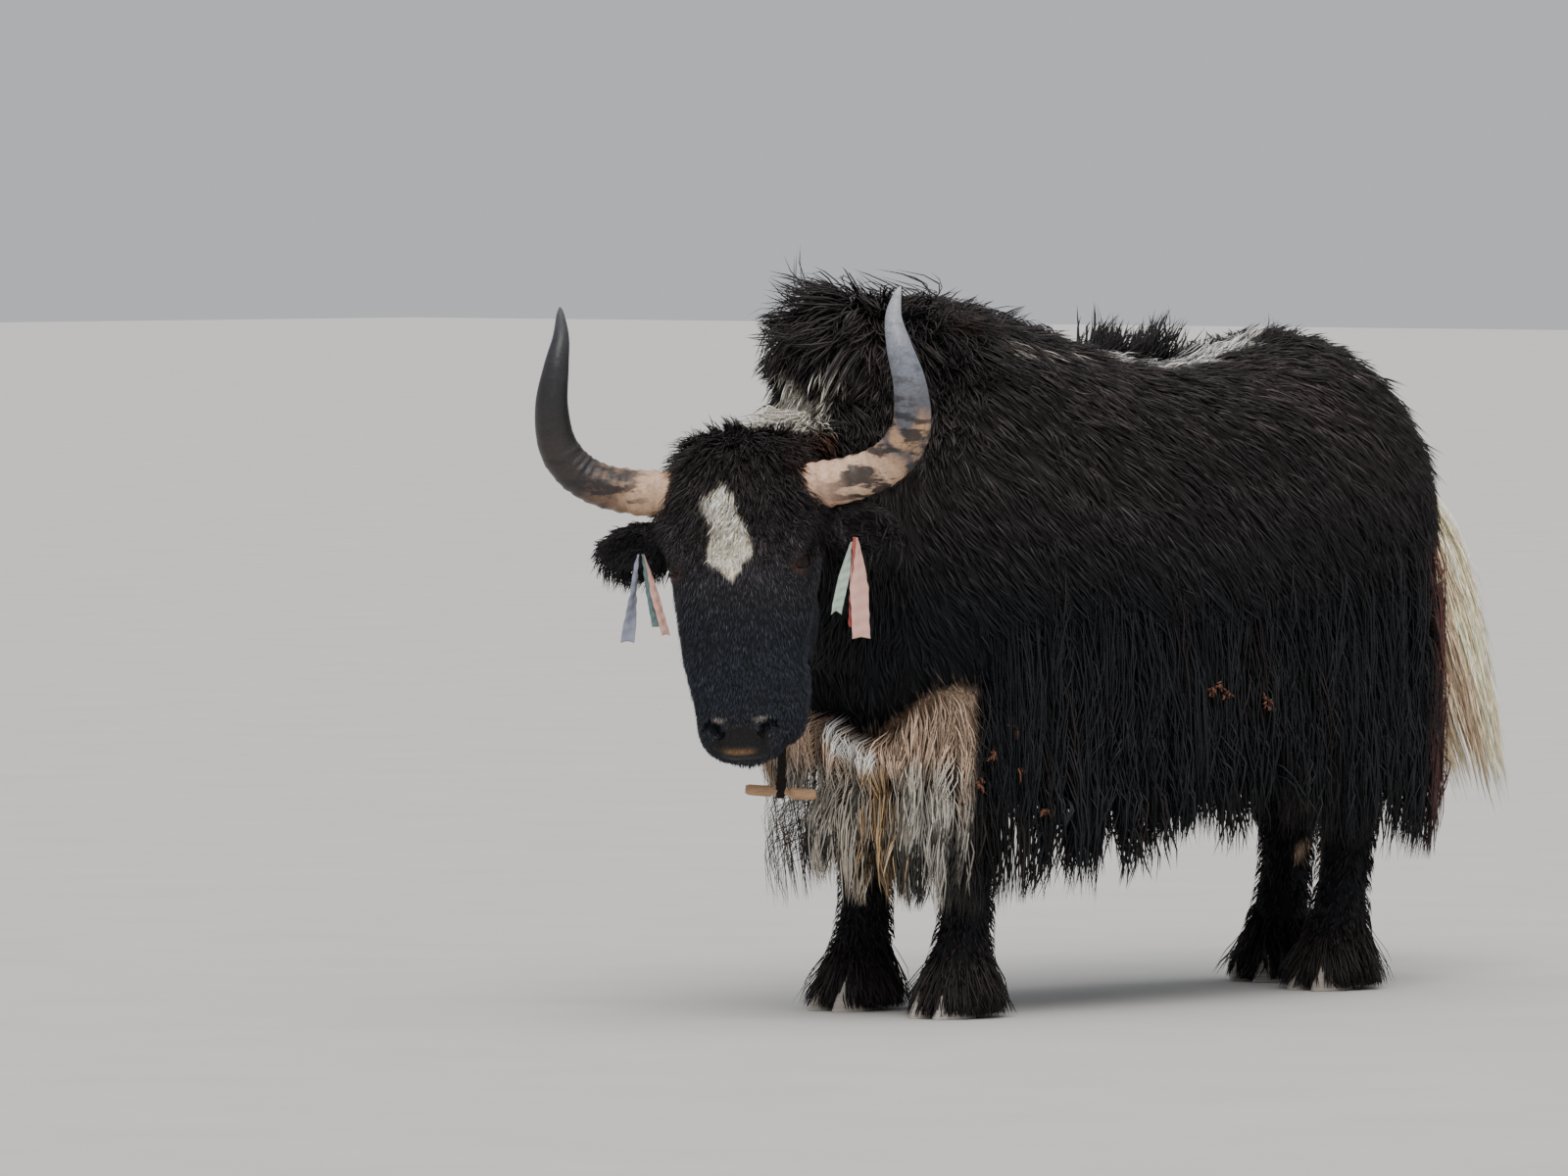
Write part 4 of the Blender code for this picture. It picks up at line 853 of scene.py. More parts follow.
@dataclass
class Markings:
    """The colours of the coat, from a place on the yak to the colour of the hair that grows there."""

    black: Colour = (0.0042, 0.004, 0.0044)
    # Brown of the upper coat: partly the hair's own brown tint, partly a painted sheen and painted light on the top of
    # the back and flanks.
    brown: Colour = (0.04, 0.03, 0.03)
    blue: Colour = (0.0046, 0.0056, 0.0078)
    cream: Colour = (0.99, 0.89, 0.72)
    fawn: Colour = (0.48, 0.345, 0.25)
    tail_cream: Colour = (1.18, 0.97, 0.69)
    nose: Colour = (0.0085, 0.0076, 0.0088)
    lip: Colour = (0.2, 0.115, 0.055)
    blaze: Rows = (
        (-0.042, 0.062), (-0.04, 0.046), (-0.02, 0.036), (-0.016, 0.02), (-0.034, 0.002),
        (-0.074, -0.012), (-0.105, -0.034), (-0.15, -0.038), (-0.162, -0.016), (-0.192, 0.008),
        (-0.166, 0.032), (-0.154, 0.05), (-0.108, 0.042), (-0.066, 0.048), (-0.056, 0.062),
    )
    bib_top: Rows = (
        (-0.62, 0.605), (-0.563, 0.592), (-0.505, 0.552), (-0.466, 0.526), (-0.422, 0.55),
        (-0.367, 0.592), (-0.333, 0.618), (-0.294, 0.628), (-0.262, 0.615),
    )
    patches: tuple[Patch, ...] = tuple(
        Patch(*row)
        for row in (
            ((-0.44, -0.16, 1.25), (0.034, 0.012, 0.013), (0.3, 0.27, 0.24)),
            ((-0.345, -0.155, 1.24), (0.022, 0.01, 0.012), (0.27, 0.24, 0.21)),
            ((-0.24, -0.13, 1.243), (0.02, 0.012, 0.012), (0.36, 0.33, 0.29)),
            ((-0.545, -0.122, 1.298), (0.05, 0.01, 0.02), (0.17, 0.105, 0.07)),
            ((-0.055, -0.085, 1.242), (0.05, 0.022, 0.024), (0.6, 0.58, 0.54)),
            ((0.075, -0.095, 1.23), (0.075, 0.022, 0.022), (0.74, 0.72, 0.68)),
            ((0.15, -0.06, 1.248), (0.09, 0.036, 0.03), (0.74, 0.72, 0.68)),
            ((0.27, -0.035, 1.268), (0.09, 0.034, 0.03), (0.76, 0.74, 0.7)),
            ((0.39, -0.005, 1.29), (0.06, 0.03, 0.026), (0.7, 0.67, 0.63)),
            ((0.74, -0.205, 0.9), (0.045, 0.05, 0.13), (0.05, 0.021, 0.016)),
            ((0.49, -0.19, 1.195), (0.022, 0.012, 0.012), (0.3, 0.23, 0.18)),
            ((-0.94, 0.03, 1.145), (0.085, 0.14, 0.05), (0.74, 0.69, 0.59)),
            ((-0.95, -0.12, 1.075), (0.03, 0.026, 0.03), (0.075, 0.03, 0.018)),
            ((-0.88, -0.037, 0.555), (0.07, 0.026, 0.03), (0.9, 0.88, 0.84)),
            ((-0.868, -0.073, 0.517), (0.07, 0.028, 0.03), (0.9, 0.88, 0.84)),
            ((-0.86, -0.11, 0.482), (0.07, 0.026, 0.026), (0.86, 0.83, 0.78)),
            ((0.642, 0.069, 0.25), (0.035, 0.018, 0.03), (0.34, 0.24, 0.17)),
            ((0.165, -0.365, 0.335), (0.05, 0.04, 0.026), (0.085, 0.055, 0.032), 0.7),
            ((0.5, -0.092, 0.24), (0.04, 0.018, 0.025), (0.15, 0.105, 0.075)),
        )
    )

    def inside(self, outline: Rows, places: Array) -> Array:
        """How deep flat places lie inside an outline.

        Args:
            outline: The corners of a closed outline.
            places: Flat places, one a row.

        Returns:
            The distance to the outline, positive inside it.
        """
        corners = np.array(outline, float)
        nearest = np.full(len(places), 9.0)
        within = np.zeros(len(places), bool)
        for first, second in zip(corners, np.roll(corners, -1, axis=0)):
            run = second - first
            away = places - first
            share = np.clip(away @ run / (run @ run), 0, 1)
            nearest = np.minimum(nearest, np.linalg.norm(away - share[:, None] * run, axis=1))
            crosses = (first[1] > places[:, 1]) != (second[1] > places[:, 1])
            rise = second[1] - first[1] if second[1] != first[1] else 1e-9
            at = first[0] + (places[:, 1] - first[1]) / rise * run[0]
            within ^= crosses & (places[:, 0] < at)
        return np.where(within, nearest, -nearest)

    def bib(self, points: Array) -> Array:
        """The share of the pale bib at places on the chest.

        Args:
            points: Body places, one a row.

        Returns:
            From 0 to 1 for each place.
        """
        wave = dapple(points, 0.06, 5) * 0.01
        share = ramp(self.bib_edge(points) - points[:, 2] + wave, -0.006, 0.01)
        reach = ramp(-0.258 - self.aslant(points) + wave, -0.01, 0.014) * ramp(-points[:, 0], 0.58, 0.62)
        return share * reach * ramp(points[:, 2], 0.36, 0.4) * ramp(points[:, 0], -0.985, -0.955)

    def aslant(self, points: Array) -> Array:
        """How far places lie round the chest from its middle towards either side."""
        return 0.659 * points[:, 0] + 0.752 * np.abs(points[:, 1])

    def bib_edge(self, points: Array) -> Array:
        """The height of the bib's upper edge at places round the chest."""
        edge = np.array(self.bib_top)
        return np.interp(self.aslant(points), edge[:, 0], edge[:, 1])

    def colours(self, points: Array) -> Array:
        """The hair's colour at places on the yak.

        Args:
            points: Body places, one a row.

        Returns:
            One linear colour for each place.
        """
        # The coat turns browner and lighter towards the top: partly its own brown tint, partly painted sheen and
        # painted light where light falls on the back.
        high = ramp(points[:, 2], 0.72, 1.1)[:, None]
        blotch = (0.5 + 0.5 * dapple(points, 0.16, 3))[:, None]
        found = np.array(self.black) + (np.array(self.brown) - self.black) * high * (0.35 + 0.65 * blotch)
        found += (np.array(self.blue) - self.black) * (1 - high)
        found = self.mixed(found, self.fawn, self.bib(points))
        for patch in self.patches:
            far = far_from(points, patch.centre, patch.sizes) + dapple(points, 0.035, 9) * patch.ragged
            found = self.mixed(found, patch.colour, 1 - ramp(far, 0.8, 1.15))
        behind = points[:, 0] - 0.78 - 0.3 * np.maximum(0.9 - points[:, 2], 0)
        tail = ramp(behind, 0.0, 0.03) * ramp(1.0 - points[:, 2], 0, 0.03)
        found = self.mixed(found, self.tail_cream, tail)
        return self.head(points, found)

    def mixed(self, found: Array, colour: Colour, share: Array) -> Array:
        """Mixes a colour into rows of colours."""
        return found + (np.array(colour) - found) * share[:, None]

    def head(self, points: Array, found: Array) -> Array:
        """Adds the head's markings to rows of colours.

        Args:
            points: Body places, one a row.
            found: Their colours so far.

        Returns:
            The colours with the blaze, nose, lips and lids.
        """
        local = head_places(points)
        on_head = (local[:, 0] < 0.03) & (local[:, 0] > -0.56) & (np.abs(local[:, 1]) < 0.2) & (points[:, 0] < -0.95)
        face = on_head & (local[:, 2] > 0.02)
        depth = self.inside(self.blaze, local[:, :2]) + 0.005 * dapple(local, 0.02, 7)
        found = self.mixed(found, self.cream, ramp(depth, -0.002, 0.004) * face)
        pad = self.nose_pad(local) * on_head
        found = self.mixed(found, self.nose, pad)
        for s in (-1, 1):
            rim = far_from(local, (-0.447, s * 0.046, 0.012), (0.006, 0.021, 0.014))
            found = self.mixed(found, (0.2, 0.175, 0.165), 0.8 * (1 - ramp(rim, 0.5, 1.3)) * on_head)
        lip = ((local[:, 0] + 0.503) / 0.012) ** 2 + ((local[:, 2] + 0.019) / 0.0042) ** 2
        lip = lip + ((local[:, 1] - 0.008) / 0.03) ** 4
        return self.mixed(found, self.lip, 0.95 * np.exp(-lip) * on_head)

    def nose_pad(self, local: Array) -> Array:
        """The share of bare hide on the nose at places in the head's frame."""
        reach = far_from(local, (-0.492, 0.0, -0.01), (0.044, 0.062, 0.05))
        return 1 - ramp(reach + 0.05 * dapple(local, 0.02, 2), 0.8, 1.05)


@dataclass
class HeadForm:
    """The bare head with its ears, before it joins the neck."""

    voxel: float = 0.0034
    nostril_along: float = -0.463
    eye_radius: float = 0.021
    fur_depth: float = 0.0035
    eyes: dict[Side, Vector] = field(default_factory=dict)
    looks: dict[Side, Vector] = field(default_factory=dict)

    def __post_init__(self) -> None:
        """Finds the eyes' places from their solids."""
        for side in Side:
            low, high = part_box(f"eye_{side.label}")
            self.eyes[side] = HEAD_INVERSE @ ((low + high) / 2 - OFFSET)
            self.looks[side] = Vector((-0.28, side.value * 0.9, 0.34)).normalized()

    def upward(self, side: Side) -> Vector:
        """The direction across an eye from its lower to its upper lid."""
        rise, looks = Vector((0.75, 0, 0.66)), self.looks[side]
        return (rise - looks * rise.dot(looks)).normalized()

    def off_eyes(self, values: Array, places: Array, low: float, high: float, least: float = 0.0) -> Array:
        """Scales values near the eyes.

        Args:
            values: A value for each place.
            places: Places in the head's frame.
            low: How far from an eye's middle they start to rise.
            high: Where they are back at their own size.
            least: Their share beside an eye.

        Returns:
            The scaled values.
        """
        for side in Side:
            values = values * (least + (1 - least) * ramp(far_from(places, self.eyes[side]), low, high))
        return values

    def lid(self, side: Side, lift: float, reach: float, thick: float) -> Thing:
        """A lid: a soft roll along the eyeball.

        Args:
            side: Which eye.
            lift: How far its middle stands off the eye's level line, in degrees.
            reach: Its distance from the eye's middle as a share of the radius.
            thick: Its thickest half size.

        Returns:
            The roll, in the head's frame.
        """
        looks, place, rise = self.looks[side], self.eyes[side], self.upward(side)
        across = rise.cross(looks)
        route, sizes = [], []
        for share in np.linspace(-1, 1, 21):
            swing = math.radians(78 * share)
            bow = max(math.cos(math.pi / 2 * share), 0.0)
            tilt = math.radians(lift) * bow**0.7
            flat = across * math.sin(swing) + looks * math.cos(swing)
            route.append(place + (flat * math.cos(tilt) + rise * math.sin(tilt)) * (reach * self.eye_radius))
            sizes.append((thick * (0.45 + 0.55 * bow),) * 2)
        return tube("lid", route, sizes, 10, up=looks)

    def solids(self) -> list[Thing]:
        """The head's overlapping forms, in its own frame."""
        pieces = [section_loft("skull", SKULL, 70, 56)]
        for s in (-1, 1):
            pieces += [
                ball("brow", (-0.1, s * 0.1, 0.034), (0.06, 0.04, 0.026)),
                ball("cheek", (-0.205, s * 0.086, -0.095), (0.11, 0.042, 0.07)),
                ball("jaw", (-0.33, s * 0.06, -0.1), (0.1, 0.034, 0.03)),
                ball("nostril_wing", (-0.466, s * 0.056, -0.012), (0.03, 0.025, 0.022)),
                ball("lip_side", (-0.455, s * 0.05, -0.052), (0.034, 0.03, 0.022)),
            ]
        pieces += [
            ball("cheek_left", (-0.37, -0.082, -0.05), (0.11, 0.04, 0.06)),
            ball("upper_lip", (-0.478, 0, -0.034), (0.033, 0.072, 0.025)),
            ball("chin", (-0.47, 0, -0.084), (0.04, 0.056, 0.021)),
            ball("thatch", (0.03, 0, -0.014), (0.072, 0.112, 0.082)),
        ]
        return pieces

    def ear(self, side: Side) -> Thing:
        """One ear: a cup that opens forwards.

        Args:
            side: Which ear.

        Returns:
            The ear, in body places.
        """
        s = side.value
        away, rise = (0.195, -0.096) if side is Side.RIGHT else (0.212, -0.08)
        centre = HEAD_LEVEL @ Vector((0.005, s * away, rise))
        turn = Matrix.Rotation(math.radians(32.5 + s * 12), 4, "Z")
        turn = turn @ Matrix.Rotation(math.radians(-6 * s - 4), 4, "X")
        cup = ball("ear", centre, (0.021, 0.083, 0.047), turn, 48)
        hollow = centre + turn.to_3x3() @ Vector((-0.022, s * 0.026, -0.003))
        combine(cup, "DIFFERENCE", [ball("hollow", hollow, (0.03, 0.05, 0.033), turn, 40)])
        return cup

    def features(self) -> list[Thing]:
        """The cutters of the sockets, nostrils, mouth and the groove of the nose."""
        cutters = []
        for side in Side:
            s = side.value
            cutters.append(ball("socket", self.eyes[side], (self.eye_radius + 0.0012,) * 3))
            slant = Matrix.Rotation(s * math.radians(30), 4, "Z")
            cutters.append(ball("nostril", (self.nostril_along, s * 0.045, 0.006), (0.02, 0.0115, 0.026), slant))
            tail = Matrix.Rotation(s * math.radians(-35), 4, "Z")
            cutters.append(ball("comma", (self.nostril_along + 0.01, s * 0.063, 0.002), (0.015, 0.006, 0.02), tail))
        route = []
        for angle in np.radians(np.linspace(-66, 66, 25)):
            swing = math.sin(angle)
            route.append(Vector((-0.408 - 0.108 * math.cos(angle), 0.094 * swing, -0.036 - 0.022 * swing**2)))
        cutters.append(tube("mouth", route, [(0.022, 0.0026)] * 25, 8))
        groove = [Vector((-0.512, 0, z)) for z in np.linspace(-0.045, 0.01, 6)]
        cutters.append(tube("groove", groove, [(0.003, 0.006)] * 6, 8, up=Vector((1, 0, 0))))
        return cutters

    def build(self) -> Thing:
        """Makes the head with its ears, in body places."""
        head = soften("head_form", self.solids(), 0.0045, 6)
        combine(head, "DIFFERENCE", self.features())
        lids = []
        for side in Side:
            lids += [self.lid(side, *roll) for roll in ((44, 1.09, 0.0044), (-38, 1.08, 0.0038), (68, 1.22, 0.0044))]
        combine(head, "UNION", lids)
        head.data.transform(HEAD_FRAME)
        head = soften("head_form", [head] + [self.ear(side) for side in Side], self.voxel, 2)
        points, normals = vertex_places(head.data), vertex_places(head.data, "normal")
        local = head_places(points)
        depth = self.off_eyes(np.full(len(points), self.fur_depth), local, 0.022, 0.05)
        depth *= 1 - 0.7 * ramp(-local[:, 0], 0.4, 0.45)
        place_vertices(head.data, points - normals * depth[:, None])
        return head


@dataclass
class Skin:
    """The one skin of the whole yak."""

    voxel: float = 0.0135
    coat_depth: float = 0.02
    leg_depth: float = 0.005
    seam: float = 0.004
    neck_span: tuple[float, float] = (-1.2, -0.85)
    seam_rings: int = 5
    seam_passes: int = 14
    head: HeadForm = field(default_factory=HeadForm)
    markings: Markings = field(default_factory=Markings)
    piece: Thing | None = None

    def leg(self, foot: Foot) -> Thing:
        """A leg over its foot, as a helper."""
        rings = []
        for row in rows_through(FRONT_LEG if "FRONT" in foot.name else REAR_LEG, 44):
            part = LegSection(*row)
            middle = Vector((foot.value[0] + part.ahead, foot.value[1] + foot.side * part.outward, part.height))
            long, wide = part.half_length, part.half_width
            rings.append([middle + Vector((long * math.cos(a), wide * math.sin(a), 0)) for a in circle(32)])
        return loft("leg", rings)

    def body(self) -> Thing:
        """The trunk, neck, legs and tail core, drawn in by the coat's depth."""
        rows = rows_through(TAIL, 30)
        pieces = [section_loft("trunk", TRUNK, 90, 64), section_loft("neck", NECK, 30, 48)]
        pieces += [self.leg(foot) for foot in Foot]
        route, sizes = [Vector(row[:3]) for row in rows], [tuple(row[3:]) for row in rows]
        pieces.append(tube("tail_core", route, sizes, 20, Vector((1, 0, 0))))
        pieces.append(ball("mane_core", (-0.745, 0, 1.225), (0.14, 0.128, 0.14)))
        body = soften("body_form", pieces, self.voxel, 6)
        points, normals = vertex_places(body.data), vertex_places(body.data, "normal")
        low = ramp(points[:, 2], 0.4, 0.6)
        depth = self.leg_depth + (self.coat_depth - self.leg_depth) * low
        depth *= 1 - 0.5 * ramp(points[:, 0], 0.8, 0.84)
        place_vertices(body.data, points - normals * depth[:, None])
        return body

    def join(self, body: Thing, head: Thing) -> Thing:
        """Unites the body with the head and smooths the line where they meet.

        Args:
            body: The body's form.
            head: The head's form, which is deleted.

        Returns:
            The skin.
        """
        trees = [BVHTree.FromObject(form, bpy.context.evaluated_depsgraph_get()) for form in (body, head)]
        skin = combine(body, "UNION", [head])
        skin.name = "skin"
        bm = bmesh.new()
        bm.from_mesh(skin.data)
        bmesh.ops.triangulate(bm, faces=bm.faces)
        chosen = set()
        for vert in bm.verts:
            on_neck = self.neck_span[0] < vert.co.x < self.neck_span[1]
            if on_neck and all(tree.find_nearest(vert.co, self.seam)[0] for tree in trees):
                chosen.add(vert)
        for _ in range(self.seam_rings):
            for vert in list(chosen):
                chosen.update(edge.other_vert(vert) for edge in vert.link_edges)
        for _ in range(self.seam_passes):
            bmesh.ops.smooth_vert(bm, verts=list(chosen), factor=0.5, use_axis_x=True, use_axis_y=True, use_axis_z=True)
        bm.to_mesh(skin.data)
        bm.free()
        return skin

    def unwrap(self, skin: Thing) -> None:
        """Lays the skin's own shape out flat in its OFBake map."""
        skin.data.uv_layers.new(name="OFBake")
        bpy.ops.object.select_all(action="DESELECT")
        bpy.context.view_layer.objects.active = skin
        skin.select_set(True)
        bpy.ops.object.mode_set(mode="EDIT")
        bpy.ops.mesh.select_all(action="SELECT")
        bpy.ops.uv.smart_project(angle_limit=math.radians(66), island_margin=0.002)
        bpy.ops.object.mode_set(mode="OBJECT")

    def build(self) -> Thing:
        """Makes the skin, its map and its markings.

        Returns:
            The skin, at its place before centring.
        """
        skin = self.join(self.body(), self.head.build())
        self.unwrap(skin)
        points = vertex_places(skin.data)
        colours = self.markings.colours(points)
        local = head_places(points)
        bare = self.markings.nose_pad(local)
        for side in Side:
            eye = np.array(self.head.eyes[side])
            rim = 1 - ramp(far_from(local, eye), 0.026, 0.038)
            corner = np.exp(-((far_from(local - eye, (-0.016, 0.0, 0.012)) / 0.016) ** 2))
            colours = self.markings.mixed(colours, (0.02, 0.017, 0.018), rim)
            colours = self.markings.mixed(colours, (0.06, 0.024, 0.018), 0.75 * rim * corner)
            bare = np.maximum(bare, rim)
        paint(skin.data, "Coat", colours)
        paint(skin.data, "Bare", bare)
        self.piece = skin
        return skin

    def finish(self) -> None:
        """Sets the skin in the frame in place of every solid of flesh."""
        flesh = ["head", "neck", "tail", "ear_left", "ear_right"]
        flesh += [f"{part}_{side.label}" for part in ("shoulder", "flank", "haunch") for side in Side]
        flesh += [f"leg_{foot.label}" for foot in Foot]
        hand_over(self.piece, "black_coat", SkinFinish().material(), *flesh)


@dataclass
class Bed:
    """The skin as a bed for hair: its triangles, and a tree that finds its nearest place."""

    skin: Thing

    def __post_init__(self) -> None:
        """Reads the triangles, their normals and their flat map."""
        mesh = self.skin.data
        count = len(mesh.polygons)
        corners = np.empty(count * 3, np.int32)
        mesh.loops.foreach_get("vertex_index", corners)
        self.points = vertex_places(mesh)
        self.triangles = corners.reshape(-1, 3)
        places = self.points[self.triangles]
        crossed = np.cross(places[:, 1] - places[:, 0], places[:, 2] - places[:, 0])
        self.areas = np.linalg.norm(crossed, axis=1) / 2
        self.vertex_normals = vertex_places(mesh, "normal")
        self.middles = places.mean(axis=1)
        flat = np.empty(count * 6, np.float32)
        mesh.uv_layers["OFBake"].uv.foreach_get("vector", flat)
        self.maps = flat.reshape(-1, 3, 2).astype(float)
        self.tree = BVHTree.FromPolygons(self.points.tolist(), self.triangles.tolist())

    def sow(self, weights: Array, count: int, chance: Chance) -> Sown:
        """Scatters roots.

        Args:
            weights: How densely each triangle is sown, as a share.
            count: How many roots.
            chance: The random draw.

        Returns:
            The roots, the normals there and their places on the map.
        """
        share = weights * self.areas
        chosen = chance.choice(len(share), size=count, p=share / share.sum())
        a, b = chance.random(count), chance.random(count)
        fold = a + b > 1
        a[fold], b[fold] = 1 - a[fold], 1 - b[fold]
        parts = np.stack([1 - a - b, a, b], axis=1)[:, :, None]
        corners = self.triangles[chosen]
        roots = (self.points[corners] * parts).sum(axis=1)
        normals = unit((self.vertex_normals[corners] * parts).sum(axis=1))
        return roots, normals, (self.maps[chosen] * parts).sum(axis=1)

    def map_at(self, points: Array) -> Array:
        """The places on the map of the skin nearest to points."""
        found = np.empty((len(points), 2))
        for i, point in enumerate(points):
            _, _, index, _ = self.tree.find_nearest(point)
            found[i] = self.maps[index].mean(axis=0)
        return found

    def lifted(self, points: Array, clear: Array) -> Array:
        """Moves points that lie too deep out to a clearance over the skin.

        Args:
            points: The points.
            clear: How far each is to stand off.

        Returns:
            The moved points.
        """
        found = points.copy()
        for i, point in enumerate(points):
            spot, normal, _, _ = self.tree.find_nearest(point)
            height = (Vector(point) - spot).dot(normal)
            if height < clear[i]:
                found[i] = np.array(spot + normal * clear[i]) if height > -0.05 else point
        return found


@dataclass
class Strands:
    """Tufts of hair before they are meshed."""

    paths: Array
    across: Array
    widths: Array
    tones: Array
    maps: Array

    def chosen(self, mask: Array) -> "Strands":
        """The strands that a mask keeps."""
        return Strands(*(value[mask] for value in (self.paths, self.across, self.widths, self.tones, self.maps)))

    def mesh(self, name: str, flatness: float = 0.42, blunt: float = 0.75) -> Thing:
        """Meshes each strand as a closed three-sided tapering prism.

        Args:
            name: The piece's name.
            flatness: Its thickness as a share of its width.
            blunt: How late it tapers.

        Returns:
            The piece.
        """
        count, points = self.paths.shape[:2]
        last = points - 1
        along = unit(np.gradient(self.paths, axis=1))
        across = self.across[:, None, :] - along * (self.across[:, None, :] * along).sum(-1, keepdims=True)
        across = unit(across)
        out = np.cross(along, across)
        t = np.arange(last) / last
        profile = (0.55 + 0.9 * t) * (1 - t**2) ** blunt
        wide = self.widths[:, None, None] * profile[None, :, None] / 2
        ring = self.paths[:, :last]
        aside = across[:, :last] * wide
        corners = np.stack([ring + aside, ring + out[:, :last] * wide * 2 * flatness, ring - aside], axis=2)
        verts = np.concatenate([corners.reshape(count, -1, 3), self.paths[:, last:]], axis=1)
        faces = [(0, 1, 2)]
        for k in range(last - 1):
            for i in range(3):
                j = (i + 1) % 3
                a, b, c, d = 3 * k + i, 3 * k + j, 3 * k + 3 + j, 3 * k + 3 + i
                faces += [(a, d, c), (a, c, b)]
        tip = 3 * last
        faces += [(3 * last - 3 + i, tip, 3 * last - 3 + (i + 1) % 3) for i in range(3)]
        each = 3 * last + 1
        tris = (np.arange(count)[:, None, None] * each + np.array(faces)[None]).reshape(-1, 3)
        flat = verts.reshape(-1, 3)
        sample = flat[tris[: len(faces)]]
        if np.einsum("ij,ij->i", sample[:, 0], np.cross(sample[:, 1], sample[:, 2])).sum() < 0:
            tris = tris[:, ::-1]
        share = np.append(np.repeat(t, 3), 1.0)
        stage = share * (self.tones.shape[1] - 1)
        below = np.minimum(stage.astype(int), self.tones.shape[1] - 2)
        near, far = self.tones[:, below], self.tones[:, below + 1]
        colours = near + (far - near) * (stage - below)[None, :, None]
        sideways = np.append(np.tile([-1.0, 0.0, 1.0], last), 0.0)
        patch = np.stack([sideways * 0.0015, (share - 0.5) * 0.003], axis=1)
        maps = (self.maps[:, None, :] + patch[None]).reshape(-1, 2)
        return self.write(name, flat, tris, np.clip(colours, 0, 1).reshape(-1, 3), maps)

    def write(self, name: str, verts: Array, tris: Array, colours: Array, maps: Array) -> Thing:
        """Writes arrays into a mesh.

        Args:
            name: The piece's name.
            verts: Its points.
            tris: Its triangles.
            colours: A colour for each point.
            maps: A place on the skin's map for each point.

        Returns:
            The piece.
        """
        mesh = bpy.data.meshes.new(name)
        mesh.vertices.add(len(verts))
        mesh.vertices.foreach_set("co", verts.astype(np.float32).ravel())
        mesh.loops.add(len(tris) * 3)
        mesh.loops.foreach_set("vertex_index", tris.astype(np.int32).ravel())
        mesh.polygons.add(len(tris))
        mesh.polygons.foreach_set("loop_start", np.arange(0, len(tris) * 3, 3, dtype=np.int32))
        mesh.update(calc_edges=True)
        paint(mesh, "Coat", colours)
        layer = mesh.uv_layers.new(name="OFBake")
        layer.uv.foreach_set("vector", maps[tris.ravel()].astype(np.float32).ravel())
        return linked(name, mesh)


@dataclass
class Growth:
    """How tufts grow from their roots: sizes in metres, angles in degrees."""

    length: float
    width: float
    lift: float
    segments: int = 3
    sag: float = 0.25
    spread: float = 0.25
    uneven: float = 0.3
    clump: float = 0.5
    clump_size: int = 14
    clear: float = 0.004
    sink: float = 0.003
    bend: ClassVar[float] = 0.12
    tone_spread: ClassVar[float] = 0.42
    tip_spread: ClassVar[float] = 0.22

    def grow(
        self,
        bed: Bed,
        sown: Sown,
        lie: Array,
        colours: Tone,
        chance: Chance,
        lengths: Array | None = None,
    ) -> Strands:
        """Grows tufts along the lie of the coat.

        Args:
            bed: The skin.
            sown: Their roots, the normals there and their places on the map.
            lie: The direction in which the coat lies at each root.
            colours: Gives the colour of hair at places on the yak.
            chance: The random draw.
            lengths: Their lengths, where they aren't all about alike.

        Returns:
            The tufts.
        """
        roots, normals, maps = sown
        count = len(roots)
        full = self.length if lengths is None else lengths
        size = full * (1 + self.uneven * chance.uniform(-1, 1, count))
        flat = lie - normals * (lie * normals).sum(1, keepdims=True)
        flat = unit(unit(flat) + self.spread * chance.normal(size=(count, 3)))
        flat = unit(flat - normals * (flat * normals).sum(1, keepdims=True))
        lift = np.radians(self.lift * (1 + 0.5 * chance.uniform(-1, 1, count)))[:, None]
        heading = flat * np.cos(lift) + normals * np.sin(lift)
        step = (size / self.segments)[:, None]
        path = [roots - normals * self.sink]
        place = roots
        bend = self.bend * chance.normal(size=(count, 3))
        for k in range(self.segments):
            share = (k + 0.5) / self.segments
            heading = unit(heading + bend + np.array([0, 0, -self.sag * share]))
            place = place + heading * step
            clear = np.full(count, self.clear) * (1 + share)
            place = bed.lifted(place, clear)
            path.append(place)
        paths = np.stack(path, axis=1)
        if self.clump > 0:
            paths = self.gathered(paths, roots, chance)
        across = np.cross(normals, flat)
        tone = np.exp(self.tone_spread * chance.normal(size=(count, 1, 1)))
        lighter = np.exp(self.tip_spread * chance.normal(size=(count, 1, 1)) + 0.12)
        widths = self.width * (1 + 0.3 * chance.uniform(-1, 1, count))
        tones = np.stack([colours(paths[:, k]) for k in range(self.segments + 1)], axis=1)
        along = np.linspace(0, 1, self.segments + 1)[None, :, None]
        return Strands(paths, across, widths, tones * tone * (0.8 + (lighter - 0.8) * along), maps)

    def gathered(self, paths: Array, roots: Array, chance: Chance) -> Array:
        """Draws the tufts' tips together into small locks.

        Args:
            paths: The tufts' paths.
            roots: Their roots.
            chance: The random draw.

        Returns:
            The drawn paths.
        """
        leaders = chance.permutation(len(roots))[: max(len(roots) // self.clump_size, 1)]
        tree = KDTree(len(leaders))
        for i, leader in enumerate(leaders):
            tree.insert(roots[leader], i)
        tree.balance()
        nearest = leaders[[tree.find(root)[1] for root in roots]]
        share = (np.linspace(0, 1, paths.shape[1]) ** 1.5)[None, :, None] * self.clump
        share = share * chance.uniform(0.4, 1.2, (len(roots), 1, 1))
        return paths + (paths[nearest] - paths) * np.clip(share, 0, 0.95)


